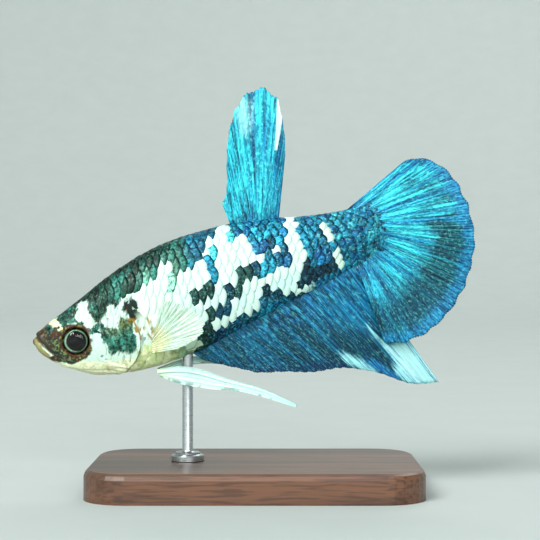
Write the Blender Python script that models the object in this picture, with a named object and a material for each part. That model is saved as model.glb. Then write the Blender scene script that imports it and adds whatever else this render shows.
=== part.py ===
"""A male short-finned betta (Betta splendens), life size, held on a small display stand.

The fish is modelled level, in its own frame: x runs back from the tip of the jaws, z up, y to the
fish's right. An empty then sets it nose down over the stand. Sizes below are in millimetres, and
the meshes are in metres. The origin of the whole is the middle of the stand's underside.
"""

import math

import bmesh
import bpy
from mathutils import Vector

MM = 0.001

# The fish on its stand.
NOSE_DOWN = 17.0  # degrees that the body's axis is tipped
SNOUT_X, SNOUT_Z = -31.05, 21.3  # where the tip of the jaws is held
GAP = 0.3  # clearance between neighbouring pieces

# The body's sections, from the jaws to the root of the tail fin. Each one runs from a point on the
# back to a point on the belly, so that the sections fan out round the blunt face.
# (back x, back z, belly x, belly z, half width, fullness: 1 is an ellipse, less is squarer)
SECTIONS = (
    (0.10, -0.30, 0.02, -1.10, 0.60, 0.95),
    (0.39, 0.32, 0.23, -2.13, 1.20, 0.90),
    (1.62, 0.97, 1.06, -3.26, 1.75, 0.85),
    (3.16, 1.62, 2.34, -4.83, 2.20, 0.80),
    (4.70, 2.16, 4.15, -6.11, 2.55, 0.78),
    (7.78, 3.36, 6.65, -7.54, 2.95, 0.78),
    (10.30, 4.42, 8.95, -8.25, 3.20, 0.80),
    (12.79, 5.34, 11.45, -8.72, 3.42, 0.82),
    (17.20, 6.62, 15.60, -9.02, 3.58, 0.85),
    (21.70, 7.36, 20.80, -8.78, 3.50, 0.88),
    (26.60, 7.46, 26.20, -7.72, 3.15, 0.92),
    (31.20, 7.20, 31.40, -6.70, 2.68, 0.95),
    (36.40, 6.34, 36.40, -5.72, 2.12, 1.00),
    (41.50, 5.16, 41.00, -4.83, 1.58, 1.00),
    (45.20, 4.60, 44.40, -4.10, 1.15, 1.00),
    (47.20, 4.45, 46.00, -3.80, 0.80, 1.00),
)
RINGS_PER_SECTION = 3
RING_POINTS = 26
TAIL_ROOT_BOW = 2.3  # how far the fan-shaped root of the tail fin swells back

# The cuts that part the body, as lines in side view.
MOUTH_LINE = ((-0.60, 1.45), (0.30, 0.05), (1.11, -1.66), (1.92, -3.08), (3.56, -5.64), (4.60, -7.20))
SHOULDER_LINE = (
    (13.4, 7.6), (14.5, 4.2), (14.9, 1.2), (15.0, -1.2), (14.9, -3.4),
    (14.5, -5.2), (13.7, -6.8), (12.5, -8.2), (11.0, -9.9),
)
TAIL_STALK_LINE = ((38.7, 9.0), (38.0, -9.0))
GILL_COVER_OUTLINE = (
    (9.3, 0.5), (12.0, 1.1), (15.6, 0.8), (16.2, -3.2), (15.6, -6.6),
    (13.0, -8.8), (10.2, -7.9), (8.6, -6.2), (7.9, -3.6), (8.2, -1.2),
)
GILL_COVER_DEPTH = 2.15  # the cover's flat inner face, out from the middle plane

# Eyes: flattened balls in sockets that open outwards.
EYE_X, EYE_Z, EYE_Y = 5.78, -2.21, 1.92
EYE_RADIUS, EYE_THICKNESS = 1.72, 1.20
SOCKET_CLEARANCE = 0.25

# Fins. The half thicknesses are at the root and at the rim.
FIN_ROOT_HALF, FIN_RIM_HALF = 0.40, 0.26
SCALLOP = 0.35  # how far the web is cut back between two ray tips

DORSAL_FROM, DORSAL_TO = 30.9, 37.9
DORSAL_RIM = (
    (30.7, 10.3), (32.0, 12.4), (33.1, 16.1), (34.4, 19.4), (36.2, 22.3),
    (38.6, 24.3), (41.1, 24.2), (42.5, 22.3), (42.4, 19.6), (41.9, 16.6), (41.2, 14.2),
)
DORSAL_RAYS = 11

TAIL_FAN_X, TAIL_FAN_Z = 47.9, -0.5  # centre of the half-moon tail's rim
TAIL_FAN_RADIUS = 16.0
TAIL_FAN_FROM, TAIL_FAN_TO = 45.0, -94.5  # degrees from the body's axis
TAIL_TOP_CORNER, TAIL_LOW_CORNER = 3.3, 1.3  # how much shorter the first and last rays are
TAIL_CORNER_POWER = 14  # the higher, the tighter these corners
TAIL_RAYS = 13

ANAL_FROM, ANAL_TO = 21.0, 44.0
ANAL_RIM = (
    (21.9, -10.1), (23.8, -11.3), (26.5, -12.8), (28.8, -14.1), (32.0, -14.9),
    (36.0, -16.2), (40.3, -16.9), (44.6, -18.9), (48.9, -21.9), (52.6, -22.8),
)
ANAL_RAYS = 24

PECTORAL_ROOT = ((16.4, -4.5), (16.0, -6.9))
PECTORAL_RIM = (
    (19.4, 0.1), (21.4, -1.2), (23.1, -2.8), (23.9, -4.6), (23.2, -6.2), (21.6, -6.9), (19.4, -7.3),
)
PECTORAL_RAYS = 9
PECTORAL_SPREAD = 2.4  # how far the rim stands off from the flank

PELVIC_TOP = ((15.2, -9.45), (18.6, -9.9), (21.2, -11.1), (24.2, -13.3), (28.6, -16.1), (32.5, -19.4))
PELVIC_BOTTOM = ((15.5, -9.95), (18.2, -11.7), (21.6, -13.6), (25.3, -15.4), (28.3, -17.1), (32.3, -19.8))
PELVIC_FAR_TOP = ((15.2, -9.45), (18.6, -9.2), (21.6, -9.9), (25.2, -11.2), (29.5, -12.7), (34.0, -13.9))
PELVIC_FAR_BOTTOM = ((15.5, -9.95), (18.4, -10.7), (21.2, -12.1), (25.0, -13.2), (29.2, -13.8), (33.9, -14.3))
PELVIC_ROOT_Y, PELVIC_SPREAD = 0.95, 2.3

# Stand.
BASE_LENGTH, BASE_WIDTH, BASE_HEIGHT = 46.0, 30.0, 4.0
BASE_CORNER, BASE_CHAMFER = 6.0, 0.8
ROD_X, ROD_RADIUS, ROD_TOP_Z = -9.5, 0.75, 20.4
ROD_SOCKET_DEPTH = 2.6
COLLAR_RADIUS, COLLAR_HEIGHT = 2.3, 1.1
ROUND_SIDES = 20


def clear_scene():
    for obj in list(bpy.data.objects):
        bpy.data.objects.remove(obj, do_unlink=True)


def curve_at(knots, values, t):
    """The smooth curve through the values at the knots, at t (a cubic between neighbours)."""
    last = len(knots) - 1
    i = max(0, min(last - 1, sum(1 for k in knots[1:-1] if t >= k)))
    span = knots[i + 1] - knots[i]
    before, after = max(i - 1, 0), min(i + 2, last)
    slope_in = (values[i + 1] - values[before]) / (knots[i + 1] - knots[before])
    slope_out = (values[after] - values[i]) / (knots[after] - knots[i])
    s = (t - knots[i]) / span
    return (
        values[i] * (2 * s**3 - 3 * s**2 + 1)
        + slope_in * span * (s**3 - 2 * s**2 + s)
        + values[i + 1] * (3 * s**2 - 2 * s**3)
        + slope_out * span * (s**3 - s**2)
    )


def along(points, t):
    """The point at share t of a smooth line through these points."""
    points = [Vector(p) for p in points]
    knots = [0.0]
    for a, b in zip(points, points[1:]):
        knots.append(knots[-1] + (b - a).length)
    return curve_at(knots, points, t * knots[-1])


def section_at(place):
    """Back point, belly point, half width and fullness at a place counted in sections."""
    row = curve_at(range(len(SECTIONS)), [Vector(s) for s in SECTIONS], place)
    return Vector(row[0:2]), Vector(row[2:4]), row[4], row[5]


def tail_bow(place, height):
    """How far a point at this height (-1 to 1) of a section is pushed back near the tail's root."""
    start = len(SECTIONS) - 3.5
    share = max(0.0, (place - start) / (len(SECTIONS) - 1 - start))
    return TAIL_ROOT_BOW * share**2 * (1 - height**2)


def body_point(place, angle):
    """A point on the body's surface: angle 0 is the back, 180 the belly, 90 the right flank."""
    back, belly, half_width, fullness = section_at(place)
    height = math.cos(math.radians(angle))
    side = math.sin(math.radians(angle))
    centre, reach = (back + belly) / 2, (back - belly) / 2
    spot = centre + reach * height
    width = math.copysign(half_width * abs(side) ** fullness, side)
    return Vector((spot.x + tail_bow(place, height), width, spot.y))


def place_of(x, edge):
    """The place whose back point (edge 0) or belly point (edge 1) lies at x."""
    low, high = 0.0, len(SECTIONS) - 1.0
    for _ in range(40):
        middle = (low + high) / 2
        if section_at(middle)[edge].x < x:
            low = middle
        else:
            high = middle
    return low


def flank_y(x, z):
    """The body's half width at this spot in side view, from the sections before and after it."""
    best = 0.0
    for step in range(4 * (len(SECTIONS) - 1)):
        back, belly, half_width, fullness = section_at(step / 4)
        reach = (back - belly) / 2
        offset = Vector((x, z)) - (back + belly) / 2
        height = offset.dot(reach) / reach.length_squared
        aside = (offset - reach * height).length
        if abs(height) < 1 and aside < 0.8:
            best = max(best, half_width * (1 - height**2) ** (fullness / 2))
    return best


def material(name, colour, roughness, metallic=0.0):
    made = bpy.data.materials.new(name)
    made.use_nodes = True
    shader = made.node_tree.nodes["Principled BSDF"]
    shader.inputs["Base Color"].default_value = (*colour, 1)
    shader.inputs["Roughness"].default_value = roughness
    shader.inputs["Metallic"].default_value = metallic
    return made


def object_from(name, mesh_builder, parent=None):
    """A new object from a bmesh in millimetres, its faces turned outwards."""
    bmesh.ops.recalc_face_normals(mesh_builder, faces=mesh_builder.faces)
    bmesh.ops.scale(mesh_builder, vec=(MM, MM, MM), verts=mesh_builder.verts)
    mesh = bpy.data.meshes.new(name)
    mesh_builder.to_mesh(mesh)
    mesh_builder.free()
    mesh.shade_smooth()
    mesh.set_sharp_from_angle(angle=math.radians(40))
    obj = bpy.data.objects.new(name, mesh)
    bpy.context.scene.collection.objects.link(obj)
    obj.parent = parent
    return obj


def whole_body(fish):
    """The body in one piece: rings of points from the jaws to the root of the tail."""
    built = bmesh.new()
    ring_count = RINGS_PER_SECTION * (len(SECTIONS) - 1) + 1
    rings = [
        [
            built.verts.new(body_point(i / RINGS_PER_SECTION, 360 * k / RING_POINTS))
            for k in range(RING_POINTS)
        ]
        for i in range(ring_count)
    ]
    for ring, following in zip(rings, rings[1:]):
        for k in range(RING_POINTS):
            after = (k + 1) % RING_POINTS
            built.faces.new((ring[k], ring[after], following[after], following[k]))
    for ring in (rings[0], rings[-1]):
        for k in range(RING_POINTS // 2):
            corners = [ring[k], ring[k + 1], ring[-k - 1], ring[-k]]
            built.faces.new(dict.fromkeys(corners))
    return object_from("body", built, fish)


def prism(name, outline, low_y, high_y, fish):
    """A closed outline in side view, drawn out from low_y to high_y."""
    built = bmesh.new()
    face = built.faces.new([built.verts.new((x, low_y, z)) for x, z in outline])
    drawn = bmesh.ops.extrude_face_region(built, geom=[face])
    moved = [item for item in drawn["geom"] if isinstance(item, bmesh.types.BMVert)]
    bmesh.ops.translate(built, vec=(0, high_y - low_y, 0), verts=moved)
    return object_from(name, built, fish)


def slab(name, line, fish):
    """A cutter one gap thick that follows a line in side view, right across the body."""
    points = [Vector(p) for p in line]
    sides = []
    for i, point in enumerate(points):
        run = points[min(i + 1, len(points) - 1)] - points[max(i - 1, 0)]
        sides.append(Vector((-run.y, run.x)).normalized() * GAP / 2)
    outline = [p + s for p, s in zip(points, sides)] + [p - s for p, s in zip(points, sides)][::-1]
    return prism(name, outline, -8, 8, fish)


def grown(outline):
    """The outline one gap larger all round."""
    middle = sum((Vector(p) for p in outline), Vector((0, 0))) / len(outline)
    return [Vector(p) + (Vector(p) - middle).normalized() * GAP for p in outline]


def boolean(obj, cutter, operation):
    """Cuts the object with the cutter, or keeps what is inside it, for good."""
    bpy.context.view_layer.update()
    modifier = obj.modifiers.new(operation.lower(), "BOOLEAN")
    modifier.operation = operation
    modifier.object = cutter
    bpy.context.view_layer.objects.active = obj
    bpy.ops.object.modifier_apply(modifier=modifier.name)


def cut_apart(obj, cutter):
    """Cuts right through the object and gives its pieces, front one first."""
    boolean(obj, cutter, "DIFFERENCE")
    bpy.data.objects.remove(cutter, do_unlink=True)
    bpy.ops.object.select_all(action="DESELECT")
    obj.select_set(True)
    bpy.context.view_layer.objects.active = obj
    bpy.ops.mesh.separate(type="LOOSE")

    def middle_x(piece):
        return sum(v.co.x for v in piece.data.vertices) / len(piece.data.vertices)

    return sorted(bpy.context.selected_objects, key=middle_x)


def finish(obj, name, look):
    obj.name = obj.data.name = name
    obj.data.materials.clear()
    obj.data.materials.append(look)
    obj.data.shade_smooth()
    obj.data.set_sharp_from_angle(angle=math.radians(40))
    return obj


def duplicate(obj):
    copy = obj.copy()
    copy.data = obj.data.copy()
    bpy.context.scene.collection.objects.link(copy)
    return copy


def ellipsoid(name, side, extra, fish):
    """An eyeball (extra 0), or its socket (extra clearance all round)."""
    bpy.ops.mesh.primitive_uv_sphere_add(segments=20, ring_count=12, radius=1.0)
    ball = bpy.context.object
    ball.name = name
    ball.parent = fish
    ball.rotation_euler = (math.radians(90), 0, 0)
    ball.location = Vector((EYE_X, side * EYE_Y, EYE_Z)) * MM
    across, through = (EYE_RADIUS + extra) * MM, (EYE_THICKNESS + extra) * MM
    ball.scale = (across, across, through)
    return ball


def body_pieces(fish):
    """Head, lower jaw, gill covers, eyes, trunk and tail stalk."""
    front, rest = cut_apart(whole_body(fish), slab("shoulder_cut", SHOULDER_LINE, fish))
    trunk, stalk = cut_apart(rest, slab("stalk_cut", TAIL_STALK_LINE, fish))
    jaw, head = cut_apart(front, slab("mouth_cut", MOUTH_LINE, fish))
    for side, word in ((-1, "left"), (1, "right")):
        inner, outer = sorted((side * GILL_COVER_DEPTH, side * 8))
        keep = prism("cover_block", GILL_COVER_OUTLINE, inner, outer, fish)
        cover = duplicate(head)
        boolean(cover, keep, "INTERSECT")
        finish(cover, f"gill_cover_{word}", material(f"gill_cover_{word}", (0.62, 0.80, 0.74), 0.4))
        inner, outer = sorted((side * (GILL_COVER_DEPTH - GAP), side * 8))
        room = prism("cover_room", grown(GILL_COVER_OUTLINE), inner, outer, fish)
        socket = ellipsoid("socket", side, SOCKET_CLEARANCE, fish)
        for cutter in (room, socket):
            boolean(head, cutter, "DIFFERENCE")
        for cutter in (keep, room, socket):
            bpy.data.objects.remove(cutter, do_unlink=True)
        eye = ellipsoid(f"eye_{word}", side, 0, fish)
        finish(eye, f"eye_{word}", material(f"eye_{word}", (0.02, 0.04, 0.04), 0.1))
    finish(head, "head", material("head", (0.10, 0.22, 0.19), 0.4))
    finish(jaw, "lower_jaw", material("lower_jaw", (0.42, 0.38, 0.24), 0.45))
    finish(trunk, "trunk", material("trunk", (0.72, 0.88, 0.86), 0.35))
    finish(stalk, "tail_stalk", material("tail_stalk", (0.03, 0.20, 0.36), 0.35))
    return trunk


def fin(name, first, second, columns, rows, lean, colour, fish, scallop=0.0):
    """A thin plate between two lines in side view.

    first and second give a point (x, z) for each share from 0 to 1, lean gives the middle of the
    plate's thickness (y) for a share along the lines and one from the first line to the second,
    and scallop cuts the second line back between two rays. Every second column is a ray.
    """
    built = bmesh.new()
    sheets = {}
    for side in (-1, 1):
        for i in range(columns + 1):
            a = i / columns
            root, tip = Vector(first(a)), Vector(second(a))
            if i % 2:
                tip -= (tip - root).normalized() * scallop
            for j in range(rows + 1):
                t = j / rows
                spot = root.lerp(tip, t)
                half = FIN_ROOT_HALF + (FIN_RIM_HALF - FIN_ROOT_HALF) * t
                sheets[side, i, j] = built.verts.new((spot.x, lean(a, t) + side * half, spot.y))
    for side in (-1, 1):
        for i in range(columns):
            for j in range(rows):
                corners = ((i, j), (i + 1, j), (i + 1, j + 1), (i, j + 1))
                built.faces.new([sheets[side, *c] for c in corners])
    rim = [(i, 0) for i in range(columns)] + [(columns, j) for j in range(rows)]
    rim += [(i, rows) for i in range(columns, 0, -1)] + [(0, j) for j in range(rows, 0, -1)]
    for here, following in zip(rim, rim[1:] + rim[:1]):
        built.faces.new(
            [sheets[-1, *here], sheets[-1, *following], sheets[1, *following], sheets[1, *here]]
        )
    obj = object_from(name, built, fish)
    return finish(obj, name, material(name, colour, 0.35))


def edge_root(edge, start, end, clearance):
    """The root line of a fin that stands on the back (edge 0) or hangs from the belly (edge 1)."""
    first, last = place_of(start, edge), place_of(end, edge)

    def root(a):
        point = section_at(first + (last - first) * a)[edge]
        return point + Vector((0, clearance))

    return root


def dorsal_fin(fish):
    root = edge_root(0, DORSAL_FROM, DORSAL_TO, GAP)
    fin(
        "dorsal_fin", root, lambda a: along(DORSAL_RIM, a), 2 * DORSAL_RAYS, 7,
        lambda a, t: 0.35 * t**2 * math.sin(math.pi * a), (0.06, 0.50, 0.74), fish, SCALLOP,
    )


def tail_fin(fish):
    last = len(SECTIONS) - 1

    def root(a):
        back, belly, _, _ = section_at(last)
        height = 1 - 2 * a
        spot = (back + belly) / 2 + (back - belly) / 2 * height
        return spot + Vector((tail_bow(last, height) + GAP, 0))

    def rim(a):
        angle = math.radians(TAIL_FAN_FROM + (TAIL_FAN_TO - TAIL_FAN_FROM) * a)
        radius = TAIL_FAN_RADIUS - TAIL_TOP_CORNER * (1 - a) ** TAIL_CORNER_POWER
        radius -= TAIL_LOW_CORNER * a**TAIL_CORNER_POWER
        return Vector((TAIL_FAN_X, TAIL_FAN_Z)) + radius * Vector((math.cos(angle), math.sin(angle)))

    def lean(a, t):
        """The lower rays swing to the left, clear of the anal fin, and the fan waves a little."""
        lower = max(0.0, (a - 0.55) / 0.45)
        return -0.75 * lower**1.5 * min(1.0, 2.2 * t) + 0.25 * t * math.sin(4 * math.pi * a)

    fin("tail_fin", root, rim, 2 * TAIL_RAYS, 9, lean, (0.05, 0.42, 0.55), fish, SCALLOP)


def anal_fin(fish):
    root = edge_root(1, ANAL_FROM, ANAL_TO, -GAP)

    def lean(a, t):
        """The last rays swing to the right, behind the tail fin's lower edge."""
        rear = max(0.0, (a - 0.6) / 0.4)
        return 0.75 * rear**1.2 * min(1.0, 2.5 * t)

    fin(
        "anal_fin", root, lambda a: along(ANAL_RIM, a), 2 * ANAL_RAYS, 6, lean,
        (0.02, 0.19, 0.29), fish, SCALLOP,
    )


def pectoral_fin(side, word, fish):
    """A fan on the flank behind the gill cover, its rim standing off from the body."""

    def lean(a, t):
        x, z = along(PECTORAL_ROOT, a)
        base = flank_y(x, z) + GAP + FIN_ROOT_HALF + 0.1
        return side * (base + PECTORAL_SPREAD * t)

    fin(
        f"pectoral_fin_{word}", lambda a: along(PECTORAL_ROOT, a), lambda a: along(PECTORAL_RIM, a),
        2 * PECTORAL_RAYS, 5, lean, (0.72, 0.82, 0.62), fish, SCALLOP,
    )


def pelvic_fin(side, word, top, bottom, fish):
    """A long narrow fin under the breast, drawn out to a thread."""

    def lean(a, t):
        return side * (PELVIC_ROOT_Y + PELVIC_SPREAD * a**0.8)

    fin(
        f"pelvic_fin_{word}", lambda a: along(top, a), lambda a: along(bottom, a),
        16, 3, lean, (0.72, 0.86, 0.78), fish,
    )


def cylinder(name, radius, low_z, high_z, x=ROD_X, y=0.0):
    bpy.ops.mesh.primitive_cylinder_add(
        vertices=ROUND_SIDES, radius=radius * MM, depth=(high_z - low_z) * MM,
        location=(x * MM, y * MM, (low_z + high_z) / 2 * MM),
    )
    obj = bpy.context.object
    obj.name = name
    return obj


def stand(trunk):
    """A flat wooden base and one steel rod, in a collar, up to the belly."""
    built = bmesh.new()
    bmesh.ops.create_cube(built, size=1.0)
    bmesh.ops.scale(built, vec=(BASE_LENGTH, BASE_WIDTH, BASE_HEIGHT), verts=built.verts)
    bmesh.ops.translate(built, vec=(0, 0, BASE_HEIGHT / 2), verts=built.verts)
    upright = [e for e in built.edges if abs(e.verts[0].co.z - e.verts[1].co.z) > BASE_HEIGHT / 2]
    bmesh.ops.bevel(built, geom=upright, offset=BASE_CORNER, segments=7, affect="EDGES", profile=0.5)
    top = [e for e in built.edges if all(v.co.z > BASE_HEIGHT - 0.01 for v in e.verts)]
    bmesh.ops.bevel(built, geom=top, offset=BASE_CHAMFER, segments=2, affect="EDGES", profile=0.5)
    base = object_from("stand_base", built)

    foot = BASE_HEIGHT - ROD_SOCKET_DEPTH
    hole = cylinder("rod_hole", ROD_RADIUS + GAP / 2, foot - GAP, BASE_HEIGHT + 1)
    boolean(base, hole, "DIFFERENCE")
    collar = cylinder(
        "stand_collar", COLLAR_RADIUS, BASE_HEIGHT + GAP / 2, BASE_HEIGHT + GAP / 2 + COLLAR_HEIGHT
    )
    boolean(collar, hole, "DIFFERENCE")
    belly_hole = cylinder("belly_hole", ROD_RADIUS + GAP / 2, BASE_HEIGHT, ROD_TOP_Z + GAP)
    boolean(trunk, belly_hole, "DIFFERENCE")
    boolean(collar, belly_hole, "DIFFERENCE")
    for cutter in (hole, belly_hole):
        bpy.data.objects.remove(cutter, do_unlink=True)
    rod = cylinder("stand_rod", ROD_RADIUS, foot, ROD_TOP_Z)

    finish(base, "stand_base", material("stand_base", (0.10, 0.05, 0.03), 0.4))
    finish(collar, "stand_collar", material("stand_collar", (0.6, 0.6, 0.6), 0.3, 1.0))
    finish(rod, "stand_rod", material("stand_rod", (0.6, 0.6, 0.6), 0.3, 1.0))


def main():
    clear_scene()
    fish = bpy.data.objects.new("fish", None)
    bpy.context.scene.collection.objects.link(fish)
    fish.location = Vector((SNOUT_X, 0, SNOUT_Z)) * MM
    fish.rotation_euler = (0, math.radians(-NOSE_DOWN), 0)
    trunk = body_pieces(fish)
    dorsal_fin(fish)
    tail_fin(fish)
    anal_fin(fish)
    pectoral_fin(-1, "left", fish)
    pectoral_fin(1, "right", fish)
    pelvic_fin(-1, "left", PELVIC_TOP, PELVIC_BOTTOM, fish)
    pelvic_fin(1, "right", PELVIC_FAR_TOP, PELVIC_FAR_BOTTOM, fish)
    stand(trunk)


main()
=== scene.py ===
# %% [markdown]
# # A marbled betta on its stand
# This lesson dresses a plain solid model of a fish. The fish is a male short-finned betta: a body of
# overlapping scales, thin fins on bony rays, and glassy eyes. The solids give the size and the pose.
# Each step below makes one piece or one finish, and each piece lies where its solid is.

# %% Load the solid model
import math

import bpy
import numpy as np
from mathutils import Matrix, Vector


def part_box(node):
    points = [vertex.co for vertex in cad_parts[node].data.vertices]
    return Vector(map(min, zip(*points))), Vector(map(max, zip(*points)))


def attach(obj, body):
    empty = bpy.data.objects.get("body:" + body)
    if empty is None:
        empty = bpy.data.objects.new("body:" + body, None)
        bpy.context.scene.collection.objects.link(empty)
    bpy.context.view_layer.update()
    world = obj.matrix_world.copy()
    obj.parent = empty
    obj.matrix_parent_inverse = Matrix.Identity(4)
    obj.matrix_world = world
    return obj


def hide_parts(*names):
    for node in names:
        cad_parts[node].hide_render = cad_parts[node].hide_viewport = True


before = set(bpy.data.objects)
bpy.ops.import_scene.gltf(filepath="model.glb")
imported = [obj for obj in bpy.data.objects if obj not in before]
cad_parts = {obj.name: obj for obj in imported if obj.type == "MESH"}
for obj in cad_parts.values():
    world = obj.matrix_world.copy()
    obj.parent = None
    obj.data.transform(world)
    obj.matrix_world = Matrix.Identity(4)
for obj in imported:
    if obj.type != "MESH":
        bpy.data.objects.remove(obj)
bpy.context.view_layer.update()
print("solids:", ", ".join(sorted(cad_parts)))

# %% [markdown]
# ## The view
# A camera with a long lens stands level with the fish and square to its left side, as a person would
# look into a tank. It stands about 21 cm away, so that the nearer fin is not drawn too large.

# %% Camera
MM = 0.001  # metres
scene = bpy.context.scene
scene.view_settings.view_transform = "Standard"
VIEW_WIDTH = 75.8  # mm across the view, at the fish
LENS, SENSOR = 100.0, 36.0  # mm
VIEW_MIDDLE = (2.05, 30.75)  # mm: what lies in the middle of the view, across and up

bpy.ops.object.camera_add(rotation=(math.radians(90), 0, 0))
camera = bpy.context.object
camera.data.lens = LENS
camera.data.sensor_width = SENSOR
camera.data.clip_start = 0.005
camera.data.clip_end = 20
distance = VIEW_WIDTH * LENS / SENSOR
camera.location = Vector((VIEW_MIDDLE[0], -distance, VIEW_MIDDLE[1])) * MM
scene.camera = camera
print(f"camera {distance:.0f} mm from the fish")

# %% [markdown]
# ## Floor and light
# A round sweep of pale card stands under and all round the model: flat in the middle, with its rim
# turned up in a wide curve, so that no edge shows from any side. It starts as a disc, whose rim is
# extruded upwards and widened step by step. Large soft lamps stand in for a light tent: one high in
# front, a weaker one beside it, and one behind.

# %% Sweep
SWEEP_FLAT, SWEEP_CURVE, SWEEP_TOP = 0.7, 0.9, 2.2  # metres
SWEEP_STEPS = 12


def deselect_all():
    """Nothing stays selected, so that the next operator acts only on what is picked for it."""
    if bpy.context.mode != "OBJECT":
        bpy.ops.object.mode_set(mode="OBJECT")
    bpy.ops.object.select_all(action="DESELECT")


def pick(obj):
    """The object is active and the only one selected."""
    deselect_all()
    obj.select_set(True)
    bpy.context.view_layer.objects.active = obj


deselect_all()
bpy.ops.mesh.primitive_circle_add(vertices=96, radius=SWEEP_FLAT, fill_type="NGON", calc_uvs=False)
sweep = bpy.context.object
sweep.name = "card_sweep"
bpy.ops.object.mode_set(mode="EDIT")
bpy.ops.mesh.select_all(action="SELECT")
bpy.ops.mesh.select_mode(type="EDGE")
bpy.ops.mesh.region_to_loop()
turns = np.linspace(0, math.pi / 2, SWEEP_STEPS + 1)
radii = SWEEP_FLAT + SWEEP_CURVE * np.sin(turns)
rises = np.diff(SWEEP_CURVE * (1 - np.cos(turns)))
for growth, rise in zip(radii[1:] / radii[:-1], rises):
    bpy.ops.mesh.extrude_edges_move(TRANSFORM_OT_translate={"value": (0, 0, rise)})
    bpy.ops.transform.resize(value=(growth, growth, 1))
bpy.ops.mesh.extrude_edges_move(TRANSFORM_OT_translate={"value": (0, 0, SWEEP_TOP - SWEEP_CURVE)})
bpy.ops.object.mode_set(mode="OBJECT")
bpy.ops.object.shade_smooth()
print(f"sweep {2 * radii[-1]:.1f} m across")

# %% Card
def colour(text):
    """An sRGB hex colour as the linear red, green, blue and alpha that a shader takes."""
    parts = [int(text[i : i + 2], 16) / 255 for i in (1, 3, 5)]
    return (*[p / 12.92 if p <= 0.04045 else ((p + 0.055) / 1.055) ** 2.4 for p in parts], 1.0)


def feed(tree, node, inputs):
    """Gives each input of a node its value, or links the socket that feeds it."""
    for name, value in inputs.items():
        if isinstance(value, bpy.types.NodeSocket):
            tree.links.new(value, node.inputs[name])
        else:
            node.inputs[name].default_value = value


def add(tree, kind, inputs=(), output=0, **settings):
    """Adds a shader node with its settings and links, and gives back one of its outputs."""
    made = tree.nodes.new(f"ShaderNode{kind}")
    for name, value in settings.items():
        setattr(made, name, value)
    feed(tree, made, dict(inputs))
    return made.outputs[output]


def new_material(name):
    """A material with one Principled shader, and its tree of nodes."""
    made = bpy.data.materials.new(name)
    made.use_nodes = True
    return made, made.node_tree


def finish(tree, **inputs):
    """Sets the Principled shader's own sockets: constants as they are, patterns by a link."""
    named = {name.replace("_", " "): value for name, value in inputs.items()}
    feed(tree, tree.nodes["Principled BSDF"], named)


# matt card: paper fibres, with no gloss at all
CARD_FIBRE = 1 / 60  # metres, drawn coarser than real so that the card isn't quite flat in colour
card, tree = new_material("matt_card")
place = add(tree, "TexCoord", output="Object")
fibre = add(tree, "TexNoise", {"Vector": place, "Scale": 1 / CARD_FIBRE, "Detail": 4.0})
tint = add(tree, "Mix", {0: fibre, 6: colour("#B3BCB9"), 7: colour("#BCC4C1")}, 2, data_type="RGBA")
finish(tree, Base_Color=tint, Roughness=0.9)
sweep.data.materials.append(card)
print("card made of", len(tree.nodes), "nodes")

# %% Lamps
AIM = Vector((0, 0, 0.03))  # metres: the middle of the fish
LAMPS = (  # name, place and size in metres, and power in watts
    ("key", (-0.75, -1.05, 1.15), 0.80, 30.0),
    ("fill", (0.25, -1.30, 0.25), 1.00, 17.0),
    ("rim", (0.30, 1.10, 1.10), 0.80, 6.0),
)
for name, spot, size, power in LAMPS:
    aim = (AIM - Vector(spot)).to_track_quat("-Z", "Y").to_euler()
    bpy.ops.object.light_add(type="AREA", location=spot, rotation=aim)
    lamp = bpy.context.object
    lamp.name = f"lamp_{name}"
    lamp.data.size = size
    lamp.data.energy = power

tent = bpy.data.worlds.new("light_tent")
tent.use_nodes = True
light = {"Color": colour("#F2F6F6"), "Strength": 0.36}
feed(tent.node_tree, tent.node_tree.nodes["Background"], light)
scene.world = tent
print("stage set, with", len(LAMPS), "lamps")

# %% [markdown]
# ## The fish's own frame
# The fish hangs nose down, but its parts are easiest to describe with the fish level: x runs back from
# the tip of the jaws, z up and y to the fish's right, in millimetres. The eye's solid says where that
# frame lies, and one turn about y takes a point from it to the model.

# %% From the fish's frame to the model's
NOSE_DOWN = math.radians(17)
EYE_X, EYE_Z, EYE_RADIUS = 5.78, -2.21, 1.72  # mm

eye_low, eye_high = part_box("eye_left")
tilt = np.array(Matrix.Rotation(-NOSE_DOWN, 3, "Y"))
origin = np.array((eye_low + eye_high) / 2) - tilt @ np.array((EYE_X, 0, EYE_Z)) * MM
origin[1] = 0


def to_model(points):
    """Points in the fish's frame, in mm, as metres in the model's frame."""
    return np.asarray(points, float) @ tilt.T * MM + origin


def to_fish(points):
    """Points in the model's frame, in metres, as mm in the fish's frame."""
    return (np.asarray(points, float) - origin) @ tilt / MM


print("jaw tip at", [round(1000 * c, 2) for c in origin], "mm")

# %% [markdown]
# ## The body's form
# A fish's body is a smooth tube that is taller than it is wide, blunt at the jaws and drawn out flat
# where the tail fin grows. Sections set along it, each from a point on the back to a point on the
# belly, give the form, as the frames of a boat do. The last two taper into the root of the fin.

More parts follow.
